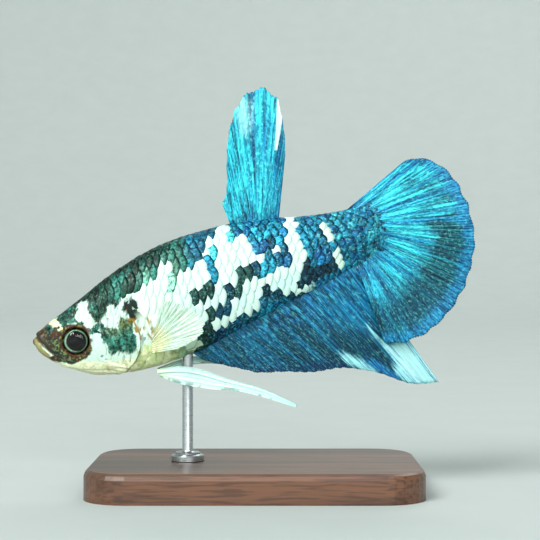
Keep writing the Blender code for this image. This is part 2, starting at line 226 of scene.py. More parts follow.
# %% The sections, and the surface through them
# (back x, back z, belly x, belly z, half width, fullness: 1 is an ellipse, less is squarer)
SECTIONS = np.array((
    (0.10, -0.30, 0.02, -1.10, 0.60, 0.95),
    (0.39, 0.32, 0.23, -2.13, 1.20, 0.90),
    (1.62, 0.97, 1.06, -3.26, 1.75, 0.85),
    (3.16, 1.62, 2.34, -4.83, 2.20, 0.80),
    (4.70, 2.16, 4.15, -6.11, 2.55, 0.78),
    (7.78, 3.36, 6.65, -7.54, 2.95, 0.78),
    (10.30, 4.42, 8.95, -8.25, 3.20, 0.80),
    (12.79, 5.34, 11.45, -8.72, 3.42, 0.82),
    (17.20, 6.62, 15.60, -9.02, 3.58, 0.85),
    (21.70, 7.36, 20.80, -8.78, 3.50, 0.88),
    (26.60, 7.46, 26.20, -7.72, 3.15, 0.92),
    (31.20, 7.20, 31.40, -6.70, 2.68, 0.95),
    (36.40, 6.34, 36.40, -5.72, 2.12, 1.00),
    (41.50, 5.16, 41.00, -4.83, 1.58, 1.00),
    (45.20, 4.60, 44.40, -4.10, 1.15, 1.00),
    (47.20, 4.45, 46.00, -3.80, 0.80, 1.00),
    (48.60, 4.62, 47.10, -4.20, 0.40, 1.00),
    (50.20, 5.10, 48.60, -5.20, 0.00, 1.00),
))
LAST = len(SECTIONS) - 1
BOW_FROM, BOW_TO = 12.5, 15.0  # sections between which the end of the body bows out to the rear
TAIL_ROOT_BOW, BOW_LIMIT = 2.3, 1.25  # mm, and how many times that it may reach
COAT = 0.12  # mm that the skin lies under the scales' outer face


def smooth_through(values, t, knots=None):
    """The smooth curve through values at t. The values lie at the knots, or one apart without them."""
    values, t = np.asarray(values, float), np.asarray(t, float)
    last = len(values) - 1
    knots = np.arange(last + 1.0) if knots is None else knots
    i = np.clip(np.searchsorted(knots, t, side="right") - 1, 0, last - 1)
    before, after = np.maximum(i - 1, 0), np.minimum(i + 2, last)
    span = knots[i + 1] - knots[i]
    slope_in = (values[i + 1] - values[before]) * (span / (knots[i + 1] - knots[before]))[..., None]
    slope_out = (values[after] - values[i]) * (span / (knots[after] - knots[i]))[..., None]
    s = ((t - knots[i]) / span)[..., None]
    return (
        values[i] * (2 * s**3 - 3 * s**2 + 1) + slope_in * (s**3 - 2 * s**2 + s)
        + values[i + 1] * (3 * s**2 - 2 * s**3) + slope_out * (s**3 - s**2)
    )


def body_surface(place, angle):
    """Points on the body: place counts sections, angle 0 is the back, 180 the belly, 90 the right."""
    row = smooth_through(SECTIONS, place)
    height = np.cos(np.radians(angle))
    side = np.sin(np.radians(angle))
    middle = (row[..., 0:2] + row[..., 2:4]) / 2
    reach = (row[..., 0:2] - row[..., 2:4]) / 2
    spot = middle + reach * height[..., None]
    share = np.maximum(0, (place - BOW_FROM) / (BOW_TO - BOW_FROM))
    bow = TAIL_ROOT_BOW * np.minimum(share**2, BOW_LIMIT) * (1 - height**2)
    width = np.sign(side) * row[..., 4] * np.abs(side) ** row[..., 5]
    return np.stack([spot[..., 0] + bow, width, spot[..., 1]], axis=-1)


print(f"{len(SECTIONS)} sections, {SECTIONS[:, 4].max() * 2:.1f} mm across at the widest")

# %% [markdown]
# ## Rings along the body
# The skin, the scales and their colours all share one map of the body: how far along it a point lies,
# and how far round its girth, from the back (0) down the left side to the belly (-1) and down the
# right side to the belly (1). Rings stand a tenth of a millimetre apart on the head, where the mouth,
# nostrils and gill cover are modelled, and further apart behind it.

# %% The map of the body
HEAD_STEP, BODY_STEP, HEAD_END = 0.10, 0.27, 16.5  # mm
GIRTH_STEPS = 300  # points round each ring
NOSE_RINGS, NOSE_DEPTH = 6, 0.30  # rings that close the nose, and mm that it reaches forwards


def girth_angles(place, shares):
    """The angles at these shares of the way round, from the back to the belly on either side."""
    angles = np.linspace(0, 180, 181)
    points = body_surface(np.full(181, place), angles)
    run = np.append(0, np.cumsum(np.linalg.norm(np.diff(points, axis=0), axis=1)))
    return np.sign(shares) * np.interp(np.abs(shares), run / run[-1], angles)


fine_places = np.linspace(0, LAST, 3001)
fine_rows = smooth_through(SECTIONS, fine_places)
fine_middle = (fine_rows[:, 0] + fine_rows[:, 2]) / 2
stations = np.concatenate([
    np.arange(fine_middle[0], HEAD_END, HEAD_STEP),
    np.arange(HEAD_END, fine_middle[-1], BODY_STEP),
    fine_middle[-1:],
])
places = np.interp(stations, fine_middle, fine_places)
shares = np.linspace(-1, 1, GIRTH_STEPS + 1)
angles = np.array([girth_angles(place, shares) for place in places])
form = body_surface(np.repeat(places[:, None], GIRTH_STEPS + 1, axis=1), angles)

nose = []
for step in range(NOSE_RINGS, 0, -1):
    closing = step / NOSE_RINGS
    centre = form[0].mean(axis=0)
    ring = centre + (form[0] - centre) * math.sqrt(1 - closing**2)
    nose.append(ring - (NOSE_DEPTH * closing, 0, 0))
form = np.concatenate([np.array(nose), form])
stations = np.append(stations[0] - NOSE_DEPTH * np.linspace(1, 1 / NOSE_RINGS, NOSE_RINGS), stations)


def normals_of(grid):
    """Outward normals of the map's points."""
    along = np.gradient(grid, axis=0)
    ring = np.concatenate([grid[:, -2:-1], grid, grid[:, 1:2]], axis=1)
    around = ring[:, 2:] - ring[:, :-2]
    normal = np.cross(along, around)
    length = np.linalg.norm(normal, axis=-1, keepdims=True)
    normal = np.where(length > 1e-9, normal / np.maximum(length, 1e-9), (-1.0, 0.0, 0.0))
    left = normal[len(grid) // 2, GIRTH_STEPS // 4, 1]
    return normal if left < 0 else -normal


form_normals = normals_of(form)
print(f"{form.shape[0]} rings of {GIRTH_STEPS} points")

# %% [markdown]
# ## Tools for marks on the side
# The folds of the head and the edges of the dark patches are all lines and outlines in side view. Three
# small tools serve them: the distance from a line, the distance inside an outline, and soft random
# clouds that make an edge uneven.

# %% Distances and clouds
rng = np.random.default_rng(11)
CLOUD_CELLS = 64  # along each edge of the block of random values
cloud_values = rng.random((CLOUD_CELLS, CLOUD_CELLS, CLOUD_CELLS))


def clouds(points, size, octaves=3):
    """Soft random values from -1 to 1 over points in mm, in lumps of this size."""
    total = np.zeros(points.shape[:-1])
    weight = 0.0
    for octave in range(octaves):
        spot = points * (2**octave / size) + 100 + 17.3 * octave
        cell = np.floor(spot).astype(int)
        part = spot - cell
        part = part * part * (3 - 2 * part)
        for corner in np.ndindex(2, 2, 2):
            share = np.prod(np.where(corner, part, 1 - part), axis=-1)
            index = (cell + corner) % CLOUD_CELLS
            value = cloud_values[index[..., 0], index[..., 1], index[..., 2]]
            total += share * (2 * value - 1) * 0.5**octave
        weight += 0.5**octave
    return total / weight


def ramp(values, start, end):
    """A smooth step from 0 at start to 1 at end. Start may be above end."""
    share = np.clip((values - start) / (end - start), 0, 1)
    return share * share * (3 - 2 * share)


def bell(gap, width):
    """1 where the gap is 0, and smoothly less on either side: about a third at this width."""
    return np.exp(-((gap / width) ** 2))


def from_line(u, v, line):
    """Distance in mm to a line of points in side view, share along it, and + on its rear side."""
    best = np.full(u.shape, 1e9)
    share = np.zeros(u.shape)
    side = np.ones(u.shape)
    count = len(line) - 1
    for i, ((au, av), (bu, bv)) in enumerate(zip(line, line[1:])):
        du, dv = bu - au, bv - av
        s = np.clip(((u - au) * du + (v - av) * dv) / (du * du + dv * dv), 0, 1)
        gap = np.hypot(u - au - s * du, v - av - s * dv)
        nearer = gap < best
        best = np.where(nearer, gap, best)
        share = np.where(nearer, (i + s) / count, share)
        side = np.where(nearer, np.sign((v - av) * du - (u - au) * dv), side)
    return best, share, side


def inside(u, v, outline):
    """Distance in mm from a closed outline in side view: positive inside it."""
    gap = from_line(u, v, [*outline, outline[0]])[0]
    within = np.zeros(u.shape, bool)
    for (au, av), (bu, bv) in zip(outline, [*outline[1:], outline[0]]):
        crosses = (av > v) != (bv > v)
        slope = (bu - au) / (bv - av if bv != av else 1e-9)
        within ^= crosses & (u < au + (v - av) * slope)
    return np.where(within, gap, -gap)


print("clouds up to", round(float(clouds(form, 2.0).max()), 2))

# %% [markdown]
# ## The folds of the head
# A betta's mouth opens upwards: a steep slit behind a thick lower lip. Behind it come two nostril pits,
# the eye in its socket with thin folds of skin in front, a bony cheek, and the gill cover, whose rear
# edge stands proud of the shoulder. Each is a small swelling, groove or step, pushed along the normals
# of a fine surface, as a sculptor works on clay. Modelled this way they stay in one skin.

# %% Folds, grooves and steps
MOUTH = ((0.15, 0.55), (0.45, -0.35), (1.05, -1.60), (1.92, -3.08))
JAW_FOLD = ((1.92, -3.08), (2.75, -3.75), (3.5, -4.9), (4.5, -5.9))
UPPER_LIP = ((0.75, 0.35), (1.15, -0.75), (1.85, -2.05), (2.5, -3.0))
LOWER_LIP = ((-0.15, -0.15), (0.10, -0.95), (0.62, -2.2), (1.35, -3.55))
CHEEK_EDGE = ((9.3, 0.6), (8.6, -1.2), (7.9, -3.4), (8.2, -5.2), (9.4, -6.6), (11.4, -7.6))
GILL_EDGE = (
    (12.2, 1.5), (13.9, 0.9), (14.6, -0.6), (14.75, -2.4), (14.6, -4.2), (14.1, -5.8),
    (12.9, -7.3), (11.2, -8.3), (9.0, -8.6),
)
THROAT_FOLDS = (
    ((14.9, -4.0), (15.5, -5.6), (14.9, -7.2), (13.4, -8.6)),
    ((9.6, -7.3), (11.6, -8.0), (13.4, -7.6)),
    ((4.8, -6.2), (7.0, -7.0), (9.4, -7.7), (11.2, -8.9)),
    ((3.4, -5.4), (5.6, -6.8), (8.2, -7.9)),
)
NOSTRILS = ((2.55, 0.62, 0.20), (3.95, 0.32, 0.17))  # u, v and radius in mm
SOCKET_FOLDS = (2.15, 2.50, 2.86)  # mm from the middle of the eye
LIPS_AND_JAW = (  # line, height and width in mm (a groove is below 0), and where and how far it fades out
    (UPPER_LIP, 0.13, 0.36, 0.7, 0.4), (LOWER_LIP, 0.20, 0.50, 0.7, 0.4), (JAW_FOLD, -0.16, 0.20, 0.6, 1.0),
)
PLATES = (  # rear edge; height, slope, sharpness, groove's gap and width in mm; 1 if the plate fades
    (CHEEK_EDGE, 0.14, 0.9, 0.08, 0.16, 0.12, 0), (GILL_EDGE, 0.30, 2.0, 0.07, 0.25, 0.20, 1),
)
MOUTH_DEPTH, THROAT_DEPTH, GROOVE_DEPTH, NOSTRIL_DEPTH = 0.42, 0.13, 0.10, 0.34  # mm
NOSTRIL_RIM, SOCKET_FOLD, ROUGHNESS = 0.10, 0.055, 0.020  # mm of height


def head_relief(u, v, points):
    """How far the head's surface stands out (+) or in (-) along its normals, in mm."""
    gap, share, side = from_line(u, v, MOUTH)
    ends = ramp(share, 0.0, 0.05) * ramp(share, 1.0, 0.96)
    relief = -MOUTH_DEPTH * bell(gap, 0.13) * (0.35 + 0.65 * ends)
    for line, height, width, fade_from, fade in LIPS_AND_JAW:
        gap, share, side = from_line(u, v, line)
        relief += height * bell(gap, width) * (1 - fade * ramp(share, fade_from, 1.0))
    for nu, nv, radius in NOSTRILS:
        gap = np.hypot(u - nu, v - nv)
        relief += NOSTRIL_RIM * bell(gap - 1.7 * radius, 0.14) - NOSTRIL_DEPTH * bell(gap, radius)
    for line, height, slope, sharpness, groove, groove_width, fades in PLATES:
        gap, share, side = from_line(u, v, line)
        ends = ramp(share, 0.0, 0.10) * ramp(share, 1.0, 0.85) if fades else 1
        relief += ends * height * np.where(side < 0, np.exp(-gap / slope), bell(gap, sharpness))
        relief -= ends * GROOVE_DEPTH * bell(gap - groove, groove_width) * (side > 0)
    for line in THROAT_FOLDS:
        gap, share, side = from_line(u, v, line)
        relief -= THROAT_DEPTH * bell(gap, 0.15) * ramp(share, 0.0, 0.2)
    gap = np.hypot(u - EYE_X, v - EYE_Z)
    for radius in SOCKET_FOLDS:
        relief += SOCKET_FOLD * bell(gap - radius, 0.11) * (0.35 + 0.65 * ramp(EYE_X - u, -0.6, 0.8))
    relief += ROUGHNESS * clouds(points, 0.9) * ramp(u, 16, 12)
    return relief * ramp(u, 17.5, 16.0)


head_part = form[..., 0] < 18
relief = np.zeros(form.shape[:2])
relief[head_part] = head_relief(form[..., 0][head_part], form[..., 2][head_part], form[head_part])
COAT_ON_FACE = 0.04  # mm
bare = ramp(form[..., 0], 11.0, 6.0)
depth = (COAT + (COAT_ON_FACE - COAT) * bare) * ramp(stations, stations[-1], 46.0)[:, None]
skin_points = form + form_normals * (relief - depth)[..., None]

SOCKET_RADIUS, SOCKET_FLOOR = 1.86, 1.45  # mm, and mm from the middle plane
eye_gap = np.hypot(form[..., 0] - EYE_X, form[..., 2] - EYE_Z)
in_socket = ramp(eye_gap, SOCKET_RADIUS + 0.16, SOCKET_RADIUS - 0.18)
flank = np.abs(skin_points[..., 1])
sunk = np.sign(skin_points[..., 1]) * (flank + (SOCKET_FLOOR - flank) * in_socket)
skin_points[..., 1] = np.where(flank > 1.0, sunk, skin_points[..., 1])
skin_normals = normals_of(skin_points)
print(f"folds from {relief.min():.2f} to {relief.max():.2f} mm")

# %% [markdown]
# ## The marbled colours
# A marble betta is white with patches of pigment. On the body every scale is either dark or white, so a
# patch has a scalloped edge. On the bare face the edge is ragged. Each patch is an outline or a few short
# strokes in side view, in the fish's own frame. The far side gets the same patches pushed out of shape by
# a soft cloud, as a real fish never has the same marks on both sides.

# %% Patches
PATCHES = {
    "green_back": (
        (1.5, 1.9), (4.7, 3.8), (8.5, 5.6), (13.5, 7.6), (18.3, 8.8), (23.5, 9.2), (28.3, 9.5),
        (29.6, 8.0), (28.9, 6.6), (27.3, 5.9), (26.4, 4.1), (25.5, 3.3), (24.3, 3.7), (23.6, 3.3),
        (23.0, 3.6), (22.2, 3.5), (21.6, 4.5), (20.8, 4.8), (20.5, 3.7), (19.7, 4.0), (18.9, 2.7),
        (18.5, 2.0), (17.2, 2.1), (16.7, 2.7), (16.1, 2.6), (15.0, 2.3), (13.8, 1.9), (13.1, 1.1),
        (12.5, 0.3), (12.1, 0.7), (12.0, 1.4), (11.3, 1.2), (11.1, 0.4), (10.6, 0.1), (10.1, -0.3),
        (10.0, -1.0), (10.4, -1.6), (10.4, -2.6), (10.1, -3.1), (9.6, -3.7), (9.3, -3.6), (9.5, -2.6),
        (9.7, -1.9), (9.4, -1.5), (8.8, -1.8), (8.4, -2.0), (8.0, -1.8), (8.0, -1.4), (8.4, -1.3),
        (9.0, -1.0), (9.2, -0.3), (9.1, 0.3), (8.7, 1.0), (8.6, 1.6), (8.8, 2.4), (8.3, 3.0),
        (7.3, 2.8), (7.2, 1.8), (6.6, 1.4), (6.5, 0.9), (6.9, 0.3), (7.5, 0.2), (7.7, -0.3),
        (7.9, -1.0), (7.1, -0.7), (6.5, 0.1), (5.4, 0.3), (4.5, -0.1), (4.2, 0.8), (3.8, 1.5),
        (3.4, 1.6),
    ),
    "snout": (
        (0.5, 0.6), (0.9, 1.2), (1.7, 1.1), (2.2, 1.5), (2.9, 1.8), (3.5, 1.3), (3.8, 0.6),
        (4.3, 0.3), (5.4, 0.4), (6.8, 0.1), (7.7, -0.9), (8.0, -2.0), (7.8, -3.4), (7.6, -4.1),
        (7.3, -4.6), (6.7, -4.8), (6.1, -5.1), (5.2, -5.1), (4.1, -5.2), (3.4, -4.8), (2.5, -4.4),
        (1.7, -3.9), (1.2, -3.2), (2.0, -3.2), (2.0, -2.8), (1.6, -1.6), (1.1, -0.8), (0.7, -0.1),
    ),
    "snout_green": ((2.2, 1.1), (2.7, 1.1), (3.1, 0.7), (3.1, 0.1), (2.3, -0.1), (2.0, 0.4)),
    "pale_brow": (
        (2.6, 1.3), (3.2, 1.9), (4.1, 1.7), (4.1, 0.8), (4.4, 0.1), (4.0, -0.2), (3.8, -0.1),
        (3.7, 0.3), (3.1, 0.7), (2.7, 1.1),
    ),
    "gill_cover": (
        (10.5, -2.3), (10.7, -2.1), (11.2, -2.3), (11.7, -2.4), (11.9, -2.7), (12.3, -2.0), (12.7, -1.1),
        (13.1, -1.2), (13.4, -1.7), (14.0, -2.0), (13.9, -2.6), (13.6, -3.4), (13.8, -3.9), (13.5, -5.0),
        (13.1, -5.8), (12.5, -5.7), (11.9, -5.4), (11.2, -5.0), (10.3, -5.2), (10.0, -5.0), (10.1, -4.3),
        (10.1, -3.5),
    ),
    "face_spot": (
        (14.2, 1.0), (14.8, 0.9), (15.2, 0.4), (15.2, -0.4), (14.9, -1.2), (14.5, -1.4), (14.3, -1.1),
        (14.3, -0.7), (14.0, -0.3), (13.7, 0.2), (13.9, 0.5),
    ),
    "throat": (
        (10.2, -9.9), (11.6, -8.5), (13.0, -7.4), (13.8, -6.1), (14.5, -5.5), (15.3, -5.6), (16.0, -6.7),
        (17.4, -6.5), (18.7, -7.2), (19.0, -7.9), (18.1, -9.1), (16.7, -9.8), (14.6, -11.2),
    ),
    "belly": (
        (15.1, -9.9), (16.3, -7.1), (18.2, -6.7), (20.1, -7.2), (21.9, -8.3), (22.1, -9.7),
        (20.4, -11.2),
    ),
    "lower_cheek": (
        (0.5, -3.2), (2.4, -4.5), (4.1, -5.4), (6.0, -5.4), (7.5, -6.1), (9.4, -6.6), (11.1, -6.9),
        (13.1, -7.2), (11.9, -8.6), (10.2, -9.9), (1.6, -7.2),
    ),
    "saddle": (
        (31.5, 9.9), (30.8, 7.2), (30.6, 5.6), (31.0, 5.0), (31.9, 5.3), (32.2, 4.7), (32.3, 4.1),
        (32.4, 3.3), (32.8, 2.6), (33.2, 3.0), (33.5, 2.6), (34.0, 2.8), (34.6, 3.0), (35.0, 2.7),
        (35.0, 2.0), (34.8, 1.2), (34.3, 0.7), (33.7, 0.7), (33.1, 0.6), (32.5, 0.3), (32.2, -0.2),
        (32.6, -0.8), (33.0, -1.3), (33.5, -1.2), (34.0, -0.8), (34.4, -1.1), (35.1, -0.9), (35.5, -1.3),
        (36.1, -0.9), (36.7, -0.7), (37.3, -0.9), (37.9, -0.7), (38.4, -0.3), (38.5, 0.5), (38.2, 1.4),
        (38.1, 2.2), (38.0, 3.1), (38.0, 3.9), (38.1, 4.6), (38.4, 5.6), (38.3, 6.6), (38.7, 8.4),
    ),
    "rear": (
        (41.3, 8.6), (40.1, 5.3), (39.5, 3.6), (39.7, 2.0), (39.7, 0.8), (39.6, -0.4), (39.2, -1.2),
        (39.4, -1.8), (38.6, -2.9), (39.0, -3.7), (39.5, -4.7), (39.2, -6.1), (38.4, -7.0), (37.4, -5.9),
        (36.8, -5.3), (35.9, -4.8), (34.2, -4.0), (32.7, -4.3), (31.3, -5.0), (29.9, -5.6), (28.2, -6.2),
        (26.1, -6.5), (24.4, -7.3), (22.0, -8.0), (20.4, -9.0), (20.0, -14.3), (50.1, -21.5),
        (61.4, -13.2), (66.4, 2.9), (57.6, 18.7),
    ),
    "navy": (
        (39.2, -0.8), (41.3, -1.5), (43.6, -1.6), (43.4, -3.0), (42.0, -3.7), (40.3, -4.4),
        (38.7, -4.2), (38.5, -2.7),
    ),
    "white_bit_upper": ((43.3, 3.8), (44.2, 3.2), (44.2, 1.9), (43.6, 0.6), (43.1, 1.1), (42.9, 2.5)),
    "white_bit_lower": ((43.7, 0.0), (44.4, -0.7), (44.5, -2.4), (44.0, -3.5), (43.4, -3.0), (43.3, -1.5)),
}
print(len(PATCHES), "patches")

# %% Tones
TONES = {name: np.array(colour(text)[:3]) for name, text in {
    "white": "#D2F3E7", "cheek_white": "#C8E7D6", "ice": "#B4EBE0", "cream": "#F0F7CC",
    "belly": "#9CC190", "breast": "#C6D89A", "deep_green": "#0A2119", "green": "#215644",
    "teal": "#338274", "pale_green": "#7FBDA2", "blue": "#137A98", "deep_blue": "#0A4B68",
    "violet_blue": "#165596", "bright_blue": "#2AA2C0", "cyan": "#3FBCC8", "navy": "#0B3042",
    "dark_blue": "#11465E", "dark_teal": "#1F4744", "snout": "#332E20", "maroon": "#471D17",
    "olive": "#66754A", "gold": "#8E8A3E", "lip": "#99925E", "lip_edge": "#3E3019",
    "inner_lip": "#DDF1D6", "orange": "#93690A", "brow": "#DFE9BC", "tan": "#A89A5B", "black": "#0A0D0A",
    "fin_root": "#0F6F98", "fin_blue": "#1480B0", "fin_cyan": "#34CADC", "fin_teal": "#0A4C58",
    "fin_rim": "#1872A0", "fin_low": "#0A4C64", "fin_pale": "#94DCE0", "fin_dark": "#0A3648",
    "fin_navy": "#0C3C60", "fin_white": "#CDF0EA", "fin_bright": "#1F7CB8",
}.items()}


def layered(base, *layers):
    """A tone with others laid over it, each by a share from 0 to 1. A tone is a name or a table."""
    tone = TONES[base] if isinstance(base, str) else base
    for upper, share in layers:
        upper = TONES[upper] if isinstance(upper, str) else upper
        tone = tone + (upper - tone) * share[..., None]
    return tone


print(len(TONES), "tones")

# %% Painting the body
FAR_SIDE_SHIFT = 2.6  # mm
GLINT_OF_WHITE, GLINT_OF_GREEN, GLINT_OF_COVER, GLINT_OF_BLUE = 0.04, 0.16, 0.14, 0.30  # how metallic


def side_view(points):
    """Side-view place of points, with the marks of the far side pushed out of shape."""
    wander = np.stack([clouds(points + shift, 5.0) for shift in (31.0, 57.0)], axis=-1)
    far = ramp(points[..., 1], 0.2, 2.2)[..., None]
    return np.moveaxis(points[..., [0, 2]] + FAR_SIDE_SHIFT * far * wander, -1, 0)


def paint(points, ragged, edge):
    """Tone, share of metal glint and darkness of scale edges at points on the body.

    ragged is how far in mm an edge wanders, and edge how softly one tone passes to the next.
    """
    u, v = side_view(points)
    fray = ragged * clouds(points, 0.55, 4) + 0.5 * ragged * clouds(points + 9.0, 0.2, 2)

    def patch(name, grow=0.0):
        return ramp(inside(u, v, PATCHES[name]) + grow + fray, -edge, edge)

    def cloudy(shift, size, start, end, octaves=3):
        return ramp(clouds(points + shift, size, octaves), start, end)

    cheek, breast = patch("lower_cheek"), patch("throat")
    pale = layered(
        "white", ("ice", 0.45 * cloudy(5, 2.2, 0.0, 0.5)), ("cheek_white", ramp(u, 17, 12)),
        ("cream", 0.6 * ramp(v, -5.5, -8.5) * ramp(u, 26, 18)),
        ("cream", 0.35 * bell(u - 16.8, 1.6) * bell(v + 2.0, 3.0)),
        ("belly", 0.75 * ramp(v, -5.6, -7.2) * ramp(u, 15, 17) * ramp(u, 23.5, 21)),
        ("cream", 0.9 * patch("lower_cheek", 0.3)), ("tan", 0.25 * cheek * cloudy(0, 0.9, 0.05, 0.4)),
        ("tan", 0.30 * cheek * ramp(-v - 0.45 * u, 3.6, 4.6) * ramp(u, 12, 8)),
        ("belly", patch("belly")), ("breast", breast), ("cream", 0.6 * breast * cloudy(0, 0.8, -0.1, 0.35)),
        ("tan", 0.35 * np.maximum(cheek, breast) * cloudy(8, 0.5, 0.10, 0.35)),
        ("dark_teal", 0.55 * ramp(v, -6.6, -7.6) * ramp(u, 16.5, 18.5) * ramp(u, 24, 22)
         * cloudy(6, 0.7, 0.05, 0.35)),
    )
    lumps = clouds(points + 23.0, 1.1)
    front = ramp(u, 25, 23)
    back = layered(
        "green", ("teal", 0.75 * ramp(lumps, -0.1, 0.4)), ("teal", 0.6 * ramp(u, 15, 21)),
        ("pale_green", 0.8 * ramp(lumps, 0.05, 0.35) * ramp(u, 16, 18.5) * ramp(v, 5.5, 3.0)),
        ("blue", ramp(u, 23.0, 25.5)), ("deep_blue", 0.5 * ramp(u, 24.0, 25.5)),
        ("deep_green", 0.6 * ramp(lumps, 0.0, -0.4) * ramp(u, 25, 22)),
        ("deep_green", 0.80 * ramp(v - 0.30 * u, -1.6, 0.4) * ramp(u, 26, 22)),
        ("teal", 0.80 * cloudy(45, 0.45, 0.10, 0.36, 2) * front),
        ("deep_green", 0.65 * cloudy(52, 0.60, -0.05, 0.25, 2) * front),
    )
    cover_green = layered(
        "green", ("teal", cloudy(0, 0.8, -0.35, 0.25)), ("olive", ramp(v, -3.6, -1.8)),
        ("pale_green", 0.5 * cloudy(9, 0.5, 0.12, 0.35)), ("deep_green", 0.6 * cloudy(4, 0.6, 0.0, 0.35)),
    )
    blues = layered(
        "blue", ("deep_blue", cloudy(0, 2.5, 0.0, 0.5)), ("bright_blue", 0.9 * cloudy(40, 1.3, 0.0, 0.4)),
        ("violet_blue", 0.6 * cloudy(70, 1.2, 0.05, 0.3)), ("deep_blue", 0.5 * ramp(u, 41, 45)),
        ("cyan", 0.35 * ramp(u, 42, 46) * cloudy(60, 0.9, 0.0, 0.3)),
    )
    green, cover, navy = patch("green_back"), patch("gill_cover", 0.3), patch("navy")
    blue_parts = patch("rear"), patch("saddle")
    white_bits = patch("white_bit_upper"), patch("white_bit_lower")
    rim = blue_parts[0] * (1 - patch("rear", -0.8)) * ramp(u, 39, 37.5)
    tone = layered(
        pale, (back, green), (cover_green, cover), *[(blues, share) for share in blue_parts],
        ("navy", 0.6 * rim), ("navy", navy), ("deep_green", patch("face_spot", 0.40)),
        *[("cheek_white", share) for share in white_bits],
    )
    metal = GLINT_OF_WHITE + GLINT_OF_GREEN * green + GLINT_OF_COVER * cover
    edges = np.maximum(0.10, green)
    for share in blue_parts:
        metal = metal + (GLINT_OF_BLUE - metal) * share
        edges = np.maximum(edges, share * ramp(u, 47, 44))
    metal = metal * (1 - 0.4 * navy)
    for share in white_bits:
        metal, edges = metal * (1 - 0.8 * share), edges * (1 - 0.8 * share)
    return tone, metal, edges


skin_tone, skin_metal = paint(form, 0.40, 0.10)[:2]
print(f"{form.shape[0] * form.shape[1]} points of the skin painted")

# %% [markdown]
# ## The colours of the face
# The bare skin of the face carries finer marks than the scales can: a maroon and green snout, a ring of
# gold flecks round the eye, a pale brow, tan lips with a white edge inside, rusty strokes at the edge of
# the gill cover and a few black dots. The slit of the mouth, the nostril pits and the socket round the
# eye are painted dark: painted shade in these hollows.

# %% Face colours
LIP = ((0.18, 0.0), (0.18, -1.0), (0.58, -2.0), (1.15, -3.05))
LIP_RIM = ((-0.12, 0.2), (-0.12, -1.05), (0.20, -2.05), (0.75, -3.2))
INNER_LIP = ((0.78, -1.05), (1.15, -1.53), (1.46, -2.43), (1.90, -3.00))
UPPER_JAW = ((0.60, 0.70), (0.95, -0.30), (1.45, -1.30), (2.1, -2.7))
GILL_RIM = ((14.6, -4.6), (14.3, -5.6), (13.5, -6.7), (12.4, -7.7), (11.2, -8.2))
MAROON_FLECKS = (
    (9.27, -0.41, 0.20), (9.61, -0.74, 0.18), (10.87, 0.49, 0.22), (9.24, 0.70, 0.18), (7.98, -1.27, 0.31),
    (13.85, 0.10, 0.28), (7.84, -2.69, 0.28), (2.77, -0.55, 0.31), (3.66, -0.53, 0.28), (8.9, 1.9, 0.15),
    (4.6, 3.1, 0.14), (6.9, 1.9, 0.10), (6.2, 1.6, 0.08), (9.6, 3.0, 0.16),
)
ORANGE_STROKES = (
    (13.9, -1.5, 14.6, -1.8, 0.15), (14.4, -2.0, 14.6, -3.4, 0.16), (14.7, -3.6, 14.6, -4.5, 0.13),
    (14.2, -2.8, 14.3, -3.4, 0.12), (14.9, -2.2, 15.2, -3.2, 0.13), (16.3, -2.1, 16.5, -4.6, 0.13),
    (15.4, -3.1, 16.1, -5.4, 0.13),
)
BLACK_DOTS = (
    (14.41, -1.18, 0.15), (14.42, -2.47, 0.13), (8.69, -5.27, 0.16), (13.84, -6.2, 0.15),
    (11.0, -0.55, 0.09), (6.0, 1.0, 0.07),
)
EYE_ARCS = (2.35, 2.85, 3.35)  # mm from the middle of the eye


